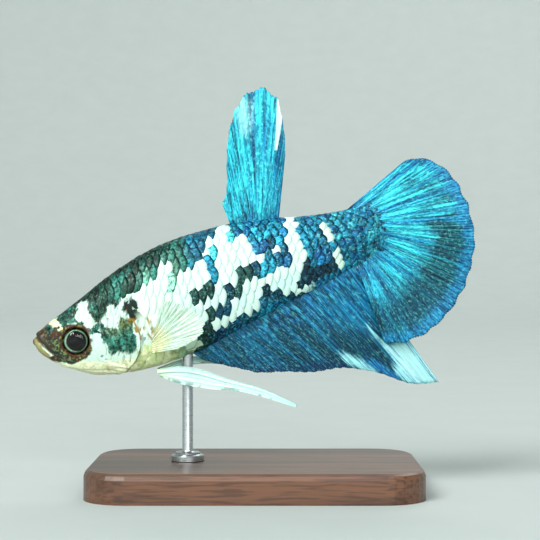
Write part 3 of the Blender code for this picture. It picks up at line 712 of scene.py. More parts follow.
def paint_face(points, tone, metal):
    """The bare face's finer marks and painted shade in its hollows, laid over the body's tones and glint.
    """
    u, v = side_view(points)
    fray = 0.32 * clouds(points, 0.5, 4)
    fine = clouds(points + 3.0, 0.24, 3)
    coarse = clouds(points + 13.0, 0.55, 3)
    eye_gap = np.hypot(u - EYE_X, v - EYE_Z)

    def patch(name, edge=0.12):
        return ramp(inside(u, v, PATCHES[name]) + fray, -edge, edge)

    def on_line(line, full, gone, wander=0.0):
        return ramp(from_line(u, v, line)[0] + wander * fray, gone, full)

    def dot(du, dv, full, gone):
        return ramp(np.hypot(u - du, v - dv), gone, full)

    snout, lip = patch("snout"), on_line(LIP, 0.36, 0.52, 0.4)
    round_eye = ramp(eye_gap, 3.3, 2.3)
    in_front = ramp(EYE_X - u, 0.6, 1.8) * ramp(fine, -0.3, 0.2) * ramp(v, -0.6, -1.6)
    brown = layered(
        "snout", ("maroon", ramp(coarse, -0.05, 0.25)), ("deep_green", 0.7 * ramp(coarse, -0.02, -0.25)),
        ("olive", 0.8 * ramp(fine, 0.10, 0.30)),
        ("olive", 0.6 * round_eye * ramp(v, -2.5, -4.0) * ramp(fine, -0.2, 0.2)),
        ("gold", 0.9 * round_eye * ramp(fine, 0.12, 0.26)),
        *[("teal", 0.40 * in_front * bell(eye_gap - radius, 0.11)) for radius in EYE_ARCS],
        ("maroon", 0.8 * bell(eye_gap - 2.02, 0.14)),
    )
    bluish = layered("deep_green", ("teal", 0.6 * ramp(fine, -0.1, 0.25)))
    tone = layered(
        tone, (brown, snout), (bluish, patch("snout_green", 0.2)), ("brow", patch("pale_brow")),
        ("lip", lip), ("olive", 0.5 * lip * ramp(fine, 0.0, 0.4)),
        ("lip_edge", 0.7 * on_line(LIP_RIM, 0.12, 0.30, 0.3)), ("snout", on_line(UPPER_JAW, 0.26, 0.44)),
        # painted shade: the maroon line in the mouth's slit, the dark dot at its upper end and the black in
        # the nostril pits
        ("inner_lip", on_line(INNER_LIP, 0.10, 0.20)), ("maroon", on_line(MOUTH, 0.07, 0.15)),
        ("lip_edge", 0.8 * dot(0.35, 0.15, 0.25, 0.45)),
        *[("black", dot(nu, nv, 0.7 * radius, 1.3 * radius)) for nu, nv, radius in NOSTRILS],
    )
    for name, dots in (("maroon", MAROON_FLECKS), ("black", BLACK_DOTS)):
        for du, dv, radius in dots:
            share = ramp(radius - np.hypot(u - du, v - dv) + 0.3 * fray, -0.08, 0.06)
            tone = layered(tone, (name, 0.85 * share))
    for au, av, bu, bv, radius in ORANGE_STROKES:
        stroke = radius - from_line(u, v, ((au, av), (bu, bv)))[0] + 0.35 * fray
        tone = layered(tone, ("orange", 0.9 * ramp(stroke, -0.10, 0.06)))
    flecks = ramp(clouds(points + 77.0, 0.32, 2), 0.40, 0.50) * (1 - snout) * ramp(u, 15, 12)
    tone = layered(
        tone, ("olive", 0.75 * on_line(GILL_RIM, 0.05, 0.22)), ("olive", 0.35 * flecks),
        # painted shade: a dark ring in the socket, where the eye sinks into the skin
        ("snout", ramp(eye_gap, SOCKET_RADIUS, SOCKET_RADIUS - 0.25)),
    )
    return tone, metal * (1 - 0.6 * snout)


face = form[..., 0] < HEAD_END
skin_tone[face], skin_metal[face] = paint_face(form[face], skin_tone[face], skin_metal[face])
print(f"{face.sum()} points of the face painted")

# %% [markdown]
# ## The skin
# One closed skin covers the head, jaws, gill covers, trunk and tail stalk, so no seam shows. It starts as
# a flat grid, which is wrapped round the body point by point; the seam along the belly and the ends are
# then merged. The skin lies a little under the solid's surface, to leave room for the scales.

# %% A grid wrapped round the body
RINGS = len(form)


def write_attribute(mesh, name, values, kind="FLOAT"):
    """Stores one value, or one colour with alpha, for each point."""
    attribute = mesh.attributes.new(name, kind, "POINT")
    values = np.asarray(values, np.float32)
    if kind == "FLOAT_COLOR":
        values = np.concatenate([values, np.ones((len(values), 1), np.float32)], axis=1)
        attribute.data.foreach_set("color", values.ravel())
    else:
        attribute.data.foreach_set("value", values.ravel())


def points_of(obj):
    """The points of a mesh in the fish's frame, in mm."""
    found = np.empty(3 * len(obj.data.vertices), np.float32)
    obj.data.vertices.foreach_get("co", found)
    return to_fish(found.reshape(-1, 3))


def move_points(obj, points):
    """Moves the points of a mesh to these places in the fish's frame."""
    obj.data.vertices.foreach_set("co", to_model(points).astype(np.float32).ravel())
    obj.data.update()


def corners_of(mesh):
    """The point at each corner of each face."""
    corners = np.empty(len(mesh.loops), np.int32)
    mesh.loops.foreach_get("vertex_index", corners)
    return corners


def write_map(mesh, name, spots):
    """A UV map from one spot for each point."""
    layer = mesh.uv_layers.new(name=name)
    layer.data.foreach_set("uv", np.asarray(spots, np.float32)[corners_of(mesh)].ravel())


def grid_sheet(name, points):
    """A flat grid primitive with its vertices moved to a table of points in the fish's frame."""
    deselect_all()
    rows, columns = points.shape[:2]
    bpy.ops.mesh.primitive_grid_add(
        x_subdivisions=columns - 1, y_subdivisions=rows - 1, size=1.0, calc_uvs=False
    )
    made = bpy.context.object
    made.name = made.data.name = name
    move_points(made, points.reshape(-1, 3))
    return made


MAP_LENGTH, MAP_START = 54.0, -1.0  # mm of body that the map holds, and where it starts
map_along = np.repeat(((stations - MAP_START) / MAP_LENGTH)[:, None], GIRTH_STEPS + 1, axis=1)
map_round = np.repeat(((shares + 1) / 2)[None], RINGS, axis=0)

skin = grid_sheet("skin", skin_points)
write_map(skin.data, "OFBake", np.stack([map_along, map_round], axis=-1).reshape(-1, 2))
write_attribute(skin.data, "tone", skin_tone.reshape(-1, 3), "FLOAT_COLOR")
write_attribute(skin.data, "metal", skin_metal.ravel())
print(len(skin.data.vertices), "points in the grid")

# %% Seam closed and faces turned outwards
MERGE = 0.004  # mm within which the points of a seam become one


def enclosed_volume(obj):
    """The volume in mm3 inside a closed mesh, below zero where its faces point inwards."""
    obj.data.calc_loop_triangles()
    corners = np.empty(3 * len(obj.data.loop_triangles), np.int32)
    obj.data.loop_triangles.foreach_get("vertices", corners)
    first, second, third = points_of(obj)[corners.reshape(-1, 3)].transpose(1, 0, 2)
    return float(np.sum(first * np.cross(second, third))) / 6


def faces_outwards(obj, merge=0.0):
    """Merges doubled points, turns all faces outwards and shades them smooth."""
    pick(obj)
    bpy.ops.object.mode_set(mode="EDIT")
    bpy.ops.mesh.select_all(action="SELECT")
    if merge:
        bpy.ops.mesh.remove_doubles(threshold=merge * MM)
    bpy.ops.mesh.normals_make_consistent(inside=False)
    bpy.ops.object.mode_set(mode="OBJECT")
    if enclosed_volume(obj) < 0:
        bpy.ops.object.mode_set(mode="EDIT")
        bpy.ops.mesh.select_all(action="SELECT")
        bpy.ops.mesh.flip_normals()
        bpy.ops.object.mode_set(mode="OBJECT")
    bpy.ops.object.shade_smooth()


def triangles(obj):
    """How many triangles a mesh has."""
    obj.data.calc_loop_triangles()
    return len(obj.data.loop_triangles)


faces_outwards(skin, MERGE)
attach(skin, "root")
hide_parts("head", "lower_jaw", "gill_cover_left", "gill_cover_right", "trunk", "tail_stalk")
print(f"skin of {triangles(skin)} triangles round {enclosed_volume(skin):.0f} mm3")

# %% [markdown]
# ## One scale
# A betta's scale is a thin rounded plate. Its front is rooted in the skin under the scales before it, so
# only its rear shows, as a tall oval. One scale is modelled once: a small grid, pressed into that shape,
# domed a little and given a thickness. It has a few dozen faces, because there are hundreds of it.

# %% The pattern scale
SCALE_ALONG, SCALE_ACROSS = 4, 8  # faces
SCALE_THICKNESS = 0.16  # in the pattern's units, before each scale's own lift and pitch
REAR_SWEEP, REAR_POWER = 0.33, 1.7  # how far, as a share of the length, and how sharply the rear narrows


def pattern_scale():
    """One scale: its points (along, across, height), faces and map, and how many points lie on top."""
    deselect_all()
    bpy.ops.mesh.primitive_grid_add(
        x_subdivisions=SCALE_ALONG, y_subdivisions=SCALE_ACROSS, size=2.0, calc_uvs=False
    )
    plate = bpy.context.object
    flat = len(plate.data.vertices)
    bpy.ops.object.mode_set(mode="EDIT")
    bpy.ops.mesh.select_all(action="SELECT")
    bpy.ops.mesh.extrude_region_move(TRANSFORM_OT_translate={"value": (0, 0, -SCALE_THICKNESS)})
    bpy.ops.mesh.dissolve_faces()
    bpy.ops.mesh.select_all(action="SELECT")
    bpy.ops.mesh.normals_make_consistent(inside=False)
    bpy.ops.object.mode_set(mode="OBJECT")
    points = np.array([v.co for v in plate.data.vertices])
    # extruding leaves the side faces in any order, and every run has to give the same mesh
    faces = sorted(list(face.vertices) for face in plate.data.polygons)
    bpy.data.objects.remove(plate, do_unlink=True)
    root_to_rear, across = (points[:, 0] + 1) / 2, points[:, 1]
    rear = 1 - REAR_SWEEP * np.abs(across) ** REAR_POWER
    front = 0.12 * across**2
    shaped = points.copy()
    shaped[:, 0] = front + (rear - front) * root_to_rear
    shaped[:, 2] += 0.09 * (1 - across**2) * np.sin(np.pi * (0.15 + 0.75 * root_to_rear))
    return shaped, faces, np.stack([(across + 1) / 2, root_to_rear], axis=-1), flat


scale_points, scale_faces, scale_map, top_points = pattern_scale()
print(f"one scale has {len(scale_faces)} faces")

# %% [markdown]
# ## Laying the scales
# The scales stand in rows that run from head to tail, each row set back half a scale from its neighbours,
# like roof tiles. Eleven rows cover a flank. They close up towards the narrow tail as real ones do, and are
# smallest on the face, where they also lie flattest; the lips, the snout, the ring round the eye and the
# throat are bare. Every scale is bent onto the skin below it, and lifts towards its rear edge, over the
# roots of those behind. A scale of the body has one colour, taken at the middle of the part that shows. On
# the face, the shoulder and the breast each point has its own, because the marks run across the scales.

# %% Rows of scales
ROWS = 11  # on one flank
PITCH_AT = (3.0, 7.0, 10.0, 14.0, 20.0, 36.0, 40.0, 44.0, 47.0, 50.0)  # mm behind the jaw tip
PITCH = (0.58, 0.75, 0.90, 1.06, 1.15, 1.13, 1.04, 0.90, 0.72, 0.55)  # mm of row for each scale there
FIRST_STATION, LAST_STATION, ANCHOR = 4.0, 49.8, 33.74  # mm: the ends, and the column set out first
OVERLAP = 1.95  # length of a scale, in steps along its row
ROOTED = 0.62  # share of a scale's length that lies before its station
MIDDLE = 0.12  # lengths from a scale's station to the middle of the part that shows
ROW_LEAN = 0.20  # mm that a column leans back for each mm it rises
GILL_ROOM = 0.42  # mm kept free of scales on either side of the gill cover's edge
half_heights = np.ptp(form[..., 2], axis=1) / 2
SCALED = (  # outline in side view of the part that has scales
    (4.9, 1.7), (6.9, 1.0), (8.6, 0.2), (9.2, -1.2), (8.9, -4.6), (10.4, -6.4), (12.6, -6.9), (14.0, -5.6),
    (15.4, -5.6), (14.8, -7.6), (14.0, -12.0), (51.5, -12.0), (51.5, 9.0), (11.0, 9.0), (3.9, 4.6),
)


def row_share(station, share):
    """Share of the girth at which a row lies: rows spread out on the flank, and rise towards the tail."""
    spread_out = 0.20 * ramp(station, 26.0, 36.0) + 0.25 * ramp(station, 24.0, 14.0)
    rise = 0.045 * ramp(station, 20.0, 36.0)
    size = np.abs(share)
    moved = size - spread_out * np.sin(2 * np.pi * size) / (2 * np.pi) - rise * np.sin(np.pi * size)
    return np.sign(share) * moved


def leaning(station, share, lean):
    """The place along the body of a point in a leaning column."""
    return station + lean * np.interp(station, stations, half_heights) * np.cos(np.pi * share)


def on_map(values, station, share):
    """The table's value at a place along the body and a share of the girth, between four points."""
    row = np.clip(np.interp(station, stations, np.arange(RINGS)), 0, RINGS - 1.001)
    column = np.mod((share + 1) / 2 * GIRTH_STEPS, GIRTH_STEPS)
    i, j = row.astype(int), column.astype(int)
    s, t = (row - i)[..., None], (column - j)[..., None]
    return (
        values[i, j] * (1 - s) * (1 - t) + values[i + 1, j] * s * (1 - t)
        + values[i, j + 1] * (1 - s) * t + values[i + 1, j + 1] * s * t
    )


def places_of_scales():
    """Station, share of the girth, pitch and row spacing of every scale."""
    columns = [ANCHOR]
    while columns[0] > FIRST_STATION:
        columns.insert(0, columns[0] - float(np.interp(columns[0], PITCH_AT, PITCH)))
    while columns[-1] < LAST_STATION:
        columns.append(columns[-1] + float(np.interp(columns[-1], PITCH_AT, PITCH)))
    found = []
    for station in columns:
        pitch = float(np.interp(station, PITCH_AT, PITCH))
        for row in range(-ROWS + 1, ROWS + 1):
            found.append((station + 0.5 * pitch * (row % 2), row / ROWS, pitch))
    station, share, pitch = np.array(found).T
    spacing = row_share(station, share + 0.5 / ROWS) - row_share(station, share - 0.5 / ROWS)
    share = row_share(station, share)
    return np.stack([leaning(station, share, ROW_LEAN), share, pitch, spacing], axis=-1)


def middle_of(laid):
    """Where the middle of the part of each scale that shows lies, on the body's form."""
    return on_map(form, laid[:, 0] + MIDDLE * OVERLAP * laid[:, 2], laid[:, 1])


laid = places_of_scales()
middles = middle_of(laid)
gill_gap = from_line(middles[:, 0], middles[:, 2], GILL_EDGE[1:-2])[0]
room_behind = stations[-1] - laid[:, 0] - 1.15 * (1 - ROOTED) * OVERLAP * laid[:, 2]
scaled = inside(middles[:, 0], middles[:, 2], SCALED) > 0
laid = laid[scaled & (gill_gap > GILL_ROOM) & (room_behind > 0)]
print(f"{len(laid)} scales, {laid[:, 2].min():.2f} to {laid[:, 2].max():.2f} mm apart along a row")

# %% Scales with a colour of their own
SCALE_SPOTS = {  # the middle of each, in mm
    "blue": ((27.04, 3.10), (27.42, 1.19), (35.2, 2.2)),
    "cyan": ((27.81, 4.86), (31.0, 5.35)),
    "dark_blue": ((33.2, -0.17), (27.51, -3.86), (26.46, -4.12)),
    "dark_teal": (
        (30.14, -0.11), (31.21, -0.29), (29.96, -1.23), (25.80, -0.93), (24.69, -1.07), (23.37, -1.16),
        (25.26, -4.79), (24.30, -5.52), (23.39, -6.56), (22.75, -7.69),
    ),
    "pale_green": ((20.99, 1.22),),
    "navy": ((28.40, -2.59), (32.91, -3.75), (37.67, -4.22)),
    "white": ((36.57, 2.05),),
}
SPOT_STRETCH = 0.55  # how much less a gap counts up and down than along, because scales are tall
SPOT_REACH = 1.0  # mm from a spot within which its scale is looked for
FAR_SPOT_SHIFT = (1.6, -0.9)  # mm


def spot_tones(middles, tone, metal, edges, right):
    """Gives the scale nearest to each spot its own colour."""
    other_side = 99 * ((middles[:, 1] > 0) != right)
    for name, spots in SCALE_SPOTS.items():
        for u, v in np.array(spots) + np.array(FAR_SPOT_SHIFT) * right:
            gap = np.hypot(middles[:, 0] - u, SPOT_STRETCH * (middles[:, 2] - v)) + other_side
            chosen = gap.argmin()
            if gap[chosen] > SPOT_REACH:
                continue
            dark = name != "white"
            tone[chosen], metal[chosen], edges[chosen] = TONES[name], 0.30 * dark, 0.9 * dark


def whole_tones(middles, brightness):
    """Tone, glint and edge darkness of whole scales, each taken at the middle of the part that shows."""
    tone, metal, edges = paint(middles, 0.10, 0.01)
    for right in (False, True):
        spot_tones(middles, tone, metal, edges, right)
    dark = ramp(metal, 0.05, 0.15)
    return tone * np.exp(0.14 * (brightness * dark)[:, None]), metal, edges, dark


print(sum(len(spots) for spots in SCALE_SPOTS.values()), "scales on each side have their own colour")

# %% Three coats of scales
ROOT_SINK, REAR_LIFT = -0.05, 0.12  # mm below and above the skin
HALF_HEIGHT = 0.96  # of a scale, in row spacings
SCALE_LEAN = 0.09  # mm that a scale leans back for each mm it rises
WOBBLES = 5  # random numbers drawn for each scale, of which the last is spare
OWN_PATCH = (0.46, 0.22)  # of its pitch and its row that a scale takes on the unwrapped body
HEAD_PART = ((0, -12), (14.8, -12), (14.8, 1.5), (12.0, 12), (0, 12))  # scales of the head's coat
FACE_MARKS = (  # where each point of a scale has a colour of its own
    (0.0, 6.0), (9.6, 4.6), (11.2, 2.2), (16.3, 2.2), (16.4, -1.0), (17.6, -1.8), (17.8, -6.0),
    (21.6, -6.9), (22.4, -12.0), (0.0, -12.0),
)


def bent_scales(laid, wobble, lift):
    """The points of every scale, bent onto the skin, and where they lie along the body and round it."""
    station, share, pitch, spacing = laid.T
    length = pitch * OVERLAP * (1 + 0.03 * wobble[:, 0])
    flip = np.where(share > 0, -1.0, 1.0)
    across = share[:, None] + (HALF_HEIGHT * spacing * flip)[:, None] * scale_points[None, :, 1]
    across = across + 0.03 / ROWS * wobble[:, 1:2]
    reach = length[:, None] * (scale_points[None, :, 0] - ROOTED)
    height_now = np.interp(station, stations, half_heights)[:, None]
    along_body = (
        station[:, None] + reach
        + SCALE_LEAN * height_now * (np.cos(np.pi * across) - np.cos(np.pi * share)[:, None])
    )
    proud = REAR_LIFT * (1 + 0.15 * wobble[:, 2]) * lift - ROOT_SINK
    rise = ROOT_SINK + proud[:, None] * (scale_map[:, 1] ** 1.2 * (1 - 0.6 * scale_points[:, 1] ** 4))[None]
    tip = 0.035 * wobble[:, 3:4] * scale_points[None, :, 1]
    rise = rise + (lift * pitch)[:, None] * (0.6 * scale_points[None, :, 2] + tip)
    base = on_map(skin_points, along_body, across)
    normal = on_map(skin_normals, along_body, across)
    normal /= np.linalg.norm(normal, axis=-1, keepdims=True)
    return base + normal * rise[..., None], along_body, across


def mesh_of_scales(name, spots, turned):
    """One mesh from the points of many scales. Those on the right flank are turned over."""
    faces = []
    for index, turn in enumerate(turned):
        for face in scale_faces:
            corners = [corner + len(scale_points) * index for corner in face]
            faces.append(corners[::-1] if turn else corners)
    mesh = bpy.data.meshes.new(name)
    mesh.from_pydata(to_model(spots.reshape(-1, 3)).tolist(), [], faces)
    obj = bpy.data.objects.new(name, mesh)
    scene.collection.objects.link(obj)
    mesh.shade_smooth()
    return obj


def lay_scales(name, laid):
    """One mesh with a copy of the pattern scale at each of these places."""
    station, share, pitch = laid.T[:3]
    wobble = rng.normal(0, 1, (len(laid), WOBBLES))
    middles = middle_of(laid)
    on_face = ramp(inside(middles[:, 0], middles[:, 2], FACE_MARKS), -0.3, 0.3)
    tone, metal, edges, dark = whole_tones(middles, wobble[:, 0])

    # Scales lie flatter where they are white, on the face, at the end of the body and beside the fins.
    fin_base = ramp(np.abs(share), 0.56, 0.74) * ramp(station, 22, 27)
    lift = (1 - 0.75 * on_face) * (0.68 + 0.32 * dark) * (1 - 0.5 * fin_base)
    lift = lift * (0.55 + 0.45 * ramp(station, 9, 15)) * (1 - 0.9 * ramp(station, 42, 48.5))
    spots, along_body, across = bent_scales(laid, wobble, lift)
    obj = mesh_of_scales(name, spots, share > 0)
    mesh = obj.data

    edges = edges * (1 - 0.6 * fin_base) * (1 - 0.6 * ramp(station, 44, 49))
    flat_spots = on_map(form, along_body, across)
    own_tone, own_metal, own_edges = paint(flat_spots, 0.32, 0.12)
    own_tone, own_metal = paint_face(flat_spots, own_tone, own_metal)
    share_own = np.repeat(on_face[:, None], len(scale_points), axis=1)
    tone = tone[:, None] + (own_tone - tone[:, None]) * share_own[..., None]
    metal = metal[:, None] + (own_metal - metal[:, None]) * share_own
    edges = edges[:, None] * (1 - share_own) + 0.65 * own_edges * share_own
    below = np.arange(len(scale_points)) >= top_points  # the under side takes one spot of the map
    patch = np.where(below[:, None], 0.0, scale_points[:, :2] - (ROOTED, 0.0))
    patch_u = (station[:, None] - MAP_START + OWN_PATCH[0] * pitch[:, None] * patch[:, 0]) / MAP_LENGTH
    patch_v = (share[:, None] + 1) / 2 + OWN_PATCH[1] / ROWS * patch[:, 1]
    write_map(mesh, "OFBake", np.stack([patch_u, patch_v], axis=-1).reshape(-1, 2))
    write_map(mesh, "scale", np.tile(scale_map, (len(laid), 1)))
    write_attribute(mesh, "metal", metal.ravel())
    write_attribute(mesh, "edges", edges.ravel())
    write_attribute(mesh, "tone", np.clip(tone, 0, 1).reshape(-1, 3), "FLOAT_COLOR")
    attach(obj, "root")
    print(f"{name}: {len(laid)} scales, {triangles(obj)} triangles")
    return obj


middles = middle_of(laid)
on_head = inside(middles[:, 0], middles[:, 2], HEAD_PART) > 0
left = laid[:, 1] < -0.001
coat_head = lay_scales("scales_head", laid[on_head])
coat_left = lay_scales("scales_left", laid[~on_head & left])
coat_right = lay_scales("scales_right", laid[~on_head & ~left])

# %% [markdown]
# ## The finish of skin and scales
# Fish skin is wet: a thin film of slime gives a sharp clear gloss over a softer surface. Under it lie
# crystals of guanine, which glint like metal in blue and green, most of all on the dark scales. Fine
# specks of pigment break up every colour. A scale is darker at its rear edge, where it meets the next:
# partly its own dark margin, partly painted shade of the step to the next scale, most on its upper side.

# %% Scales and skin as materials
SPECK, GLINT, GRAIN = 0.42, 0.36, 0.80  # mm: real pigment cells are finer, so these are drawn coarser
# settings that many nodes share
SMOOTH = {"interpolation_type": "SMOOTHSTEP"}
MIX = {"data_type": "RGBA"}
DARKEN = {"data_type": "RGBA", "blend_type": "MULTIPLY"}
BUMP = 0.05 * MM  # metres between the foot and the top of a bump


def per_metre(size_mm):
    """The scale of a noise whose lumps are this many millimetres across."""
    return 1 / (size_mm * MM)


def patterned(tree, tone, layers):
    """A colour with patterns laid over it, in turn.

    A layer has its noise, the noise's values where it starts to show and where it is full, the most that
    it covers, a share that says where, and its colour.
    """
    for noise, start, full, most, where, upper in layers:
        share = add(tree, "MapRange", {0: noise, 1: start, 2: full, 4: most}, **SMOOTH)
        share = add(tree, "Math", {0: share, 1: where}, operation="MULTIPLY")
        tone = add(tree, "Mix", {0: share, 6: tone, 7: upper}, 2, **MIX)
    return tone


def wet_skin(name, with_scales):
    """Guanine and pigment under a film of slime; scale rims dark, part pigment, part painted shade."""
    made, tree = new_material(name)
    place = add(tree, "TexCoord", output="Object")
    moved = add(tree, "Mapping", {"Vector": place, "Location": (0.31, 0.17, 0.23)})
    tone = add(tree, "Attribute", output="Color", attribute_name="tone")
    metal = add(tree, "Attribute", output="Fac", attribute_name="metal")
    noises = []
    for spot, size, detail in ((place, SPECK, 2.0), (moved, GLINT, 2.0), (place, GRAIN, 3.0)):
        lumps = {"Vector": spot, "Scale": per_metre(size), "Detail": detail, "Roughness": 0.6}
        noises.append(add(tree, "TexNoise", lumps))
    specks, glints, grain = noises
    dark, pale, brighter = [
        add(tree, "Mix", {0: 1.0, 6: tone, 7: (*times, 1.0)}, 2, **DARKEN)
        for times in ((0.12, 0.20, 0.20), (1.5, 1.5, 1.5), (3.2, 3.0, 2.6))
    ]
    bright = add(tree, "Mix", {0: 0.40, 6: brighter, 7: colour("#8FE3C8")}, 2, **MIX)
    on_dark = add(tree, "MapRange", {0: metal, 1: 0.05, 2: 0.18, 3: 0.10}, **SMOOTH)
    on_metal = add(tree, "MapRange", {0: metal, 1: 0.08, 2: 0.30, 4: 0.60}, **SMOOTH)
    shown = patterned(tree, tone, (
        (grain, 0.46, 0.62, 1.0, on_dark, pale), (specks, 0.47, 0.58, 0.85, on_dark, dark),
        (glints, 0.56, 0.66, 1.0, on_metal, bright),
    ))
    if with_scales:
        # the dark rim: the scale's own dark margin with painted shade of the step to the next scale, most
        # on the upper side
        edges = add(tree, "Attribute", output="Fac", attribute_name="edges")
        own = add(tree, "UVMap", uv_map="scale")
        across, rearwards = [add(tree, "SeparateXYZ", {0: own}, axis) for axis in (0, 1)]
        upper_side_shade = add(tree, "MapRange", {0: across, 1: 0.35, 2: 0.85, 3: 0.45}, **SMOOTH)
        where = add(tree, "Math", {0: upper_side_shade, 1: edges}, operation="MULTIPLY")
        darker = add(tree, "Mix", {0: 1.0, 6: shown, 7: (0.08, 0.14, 0.18, 1.0)}, 2, **DARKEN)
        shown = patterned(tree, shown, ((rearwards, 0.82, 0.96, 1.0, where, darker),))
    finish(
        tree, Base_Color=shown, Metallic=metal, IOR=1.36, Specular_IOR_Level=0.35,
        Coat_Weight=0.10, Coat_Roughness=0.15, Coat_IOR=1.34,
        Roughness=add(tree, "MapRange", {0: specks, 1: 0.3, 2: 0.7, 3: 0.36, 4: 0.52}, **SMOOTH),
        Normal=add(tree, "Bump", {"Height": grain, "Strength": 0.35, "Distance": BUMP}),
    )
    return made


# wet scales: a blue and green glint under a clear gloss, and a dark rim of pigment and painted shade on
# every plate
slimy_scales = wet_skin("guanine_scales", True)
# bare skin: the same wet gloss over finely speckled pigment
slimy_skin = wet_skin("bare_slimy_skin", False)
skin.data.materials.append(slimy_skin)
for coat in (coat_left, coat_right, coat_head):
    coat.data.materials.append(slimy_scales)
print("skin and scales finished")

# %% [markdown]
# ## Fins
# A fin is a fold of thin clear skin held open by bony rays. Each ray forks two or three times on its way
# out, so that the rim is a fringe of fine tips, with the web cut back between them. A fin is made as a
# grid between two curves, its root and its rim, which is leant out of the plane as the fin sways. The
# web is a few hundredths of a millimetre thick, and the rays stand out from it on both faces: Solidify
# gives each point its own thickness. The roots are sunk in the body, so that no gap shows.

# %% Curves and forked rays
def along(line, t):
    """Points at shares t of the length of a smooth line through these points."""
    knots = np.append(0, np.cumsum(np.linalg.norm(np.diff(np.array(line), axis=0), axis=1)))
    return smooth_through(line, np.asarray(t) * knots[-1], knots)


def edge_line(start, end, edge):
    """The back line (edge 0) or the belly line (edge 1) of the body, from one x to another."""
    x = fine_rows[:, 2 * edge]

    def line(a):
        place = np.interp(start + (end - start) * np.asarray(a), x, fine_places)
        row = smooth_through(SECTIONS, place)
        return row[..., 2 * edge : 2 * edge + 2]

    return line


def forked_rays(a, t, rays, forks):
    """1 on a ray and 0 on the web between. Each ray forks at the shares t given in forks."""
    ridge = np.zeros(a.shape)
    spread_at = [ramp(t, fork - 0.10, fork + 0.35) * 0.25 * 0.5**k for k, fork in enumerate(forks)]
    width = 0.17 * (1 - 0.62 * ramp(t, 0.1, 0.95)) + 0.02
    for signs in np.ndindex(*(2,) * len(forks)):
        offset = sum((2 * sign - 1) * amount for sign, amount in zip(signs, spread_at))
        gap = np.mod(a * rays - offset + 0.5, 1.0) - 0.5
        ridge = np.maximum(ridge, bell(gap, width))
    return ridge


one_ray = np.linspace(0, 1, 101)
print(f"rays take up {100 * forked_rays(one_ray, 0 * one_ray, 1, ()).mean():.0f}% of a fin at its root")

# %% One fin
FIN_THICKNESS = 0.34  # mm, at a ray near the root
WEB_SHARE = 0.30  # the web's thickness as a share of the ray's
ROOT_SUNK = 1.1  # mm that a root runs on into the body
FLARE_REACH = 0.30  # share of the length that a thicker root takes to thin out


def make_fin(name, node, root, rim, lean, rays, forks, size, sunk=ROOT_SUNK, fringe=0.30,
             notch=0.35, thickness=FIN_THICKNESS, flare=0.0, lengthwise=False):
    """A fin between a root and a rim, each a line of (x, z) for shares a; lean gives its y.

    fringe and notch are how deep the rim is cut between ray tips and between rays, and flare how much
    thicker the fin is at its root, all in mm. The rays of a lengthwise fin run along both lines, not
    from one to the other.
    """
    across, down = size
    a = np.repeat(np.linspace(0, 1, across)[:, None], down, axis=1)
    t = np.repeat(np.linspace(0, 1, down)[None], across, axis=0)
    start, tip = root(a[:, 0]), rim(a[:, 0])
    run = tip - start
    run_length = np.linalg.norm(run, axis=1, keepdims=True)
    ray_at_rim = forked_rays(a[:, -1], t[:, -1], rays, forks)
    main_ray = 0.5 + 0.5 * np.cos(2 * np.pi * a[:, 0] * rays)
    ragged = clouds(np.stack([a[:, 0] * rays * 3, a[:, 0] * 0, a[:, 0] * 0 + len(name)], axis=-1), 1.0, 3)
    cut = notch * (1 - main_ray) + fringe * (1 - ray_at_rim) + 0.5 * fringe * (ragged + 0.4)
    tip = tip - run / run_length * cut[:, None]
    start = start - run / run_length * sunk
    share = t[..., None]
    flat = start[:, None] * (1 - share) + tip[:, None] * share
    sunk_share = sunk / (run_length + sunk)
    own_t = np.clip((t - sunk_share) / (1 - sunk_share), 0, 1)
    points = np.stack([flat[..., 0], lean(a, own_t, flat), flat[..., 1]], axis=-1)

    beside_rays, along_rays = (own_t, a) if lengthwise else (a, own_t)
    ridge = forked_rays(beside_rays, along_rays, rays, forks)
    fin = grid_sheet(name, points)
    taper = 1 - 0.55 * own_t
    wide = thickness * (WEB_SHARE + (1 - WEB_SHARE) * ridge) * taper
    wide = wide + flare * np.sin(np.pi * a) ** 0.5 * np.maximum(0, 1 - own_t / FLARE_REACH) ** 2
    weights = np.clip(wide / (thickness + flare), 0.02, 1).ravel()
    group = fin.vertex_groups.new(name="thickness")
    for index, weight in enumerate(weights):
        group.add([index], float(weight), "REPLACE")
    write_map(fin.data, "rays", np.stack([beside_rays, along_rays], axis=-1).reshape(-1, 2))
    write_attribute(fin.data, "ray", ridge.ravel())
    pick(fin)
    wall = fin.modifiers.new("wall", "SOLIDIFY")
    wall.thickness = (thickness + flare) * MM
    wall.offset = 0.0
    wall.vertex_group = "thickness"
    wall.thickness_vertex_group = 0.05
    wall.use_even_offset = False
    bpy.ops.object.modifier_apply(modifier=wall.name)
    fin.vertex_groups.clear()
    faces_outwards(fin)
    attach(fin, "root")
    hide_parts(node)
    print(f"{name}: {triangles(fin)} triangles")
    return fin

# %% Colour along the rays
TINY_SCALE = (0.80, 1.20)  # mm: length and height of the scales drawn on the base of a fin


def streaked(a, t, across, out, seed):
    """Soft random values from -1 to 1, drawn out along the rays: this many lumps across and out."""
    return clouds(np.stack([a * across, t * out, 0 * a + seed], axis=-1), 1.0, 3)


def fin_tones(fin, rule):
    """Stores the tone that a rule gives for each point, from its place on the fin and on the fish."""
    mesh = fin.data
    spots = np.empty(2 * len(mesh.loops), np.float32)
    mesh.uv_layers["rays"].data.foreach_get("uv", spots)
    own = np.zeros((len(mesh.vertices), 2))
    own[corners_of(mesh)] = spots.reshape(-1, 2)
    tone = rule(own[:, 0], own[:, 1], points_of(fin))
    write_attribute(mesh, "tone", np.clip(tone, 0, 1), "FLOAT_COLOR")


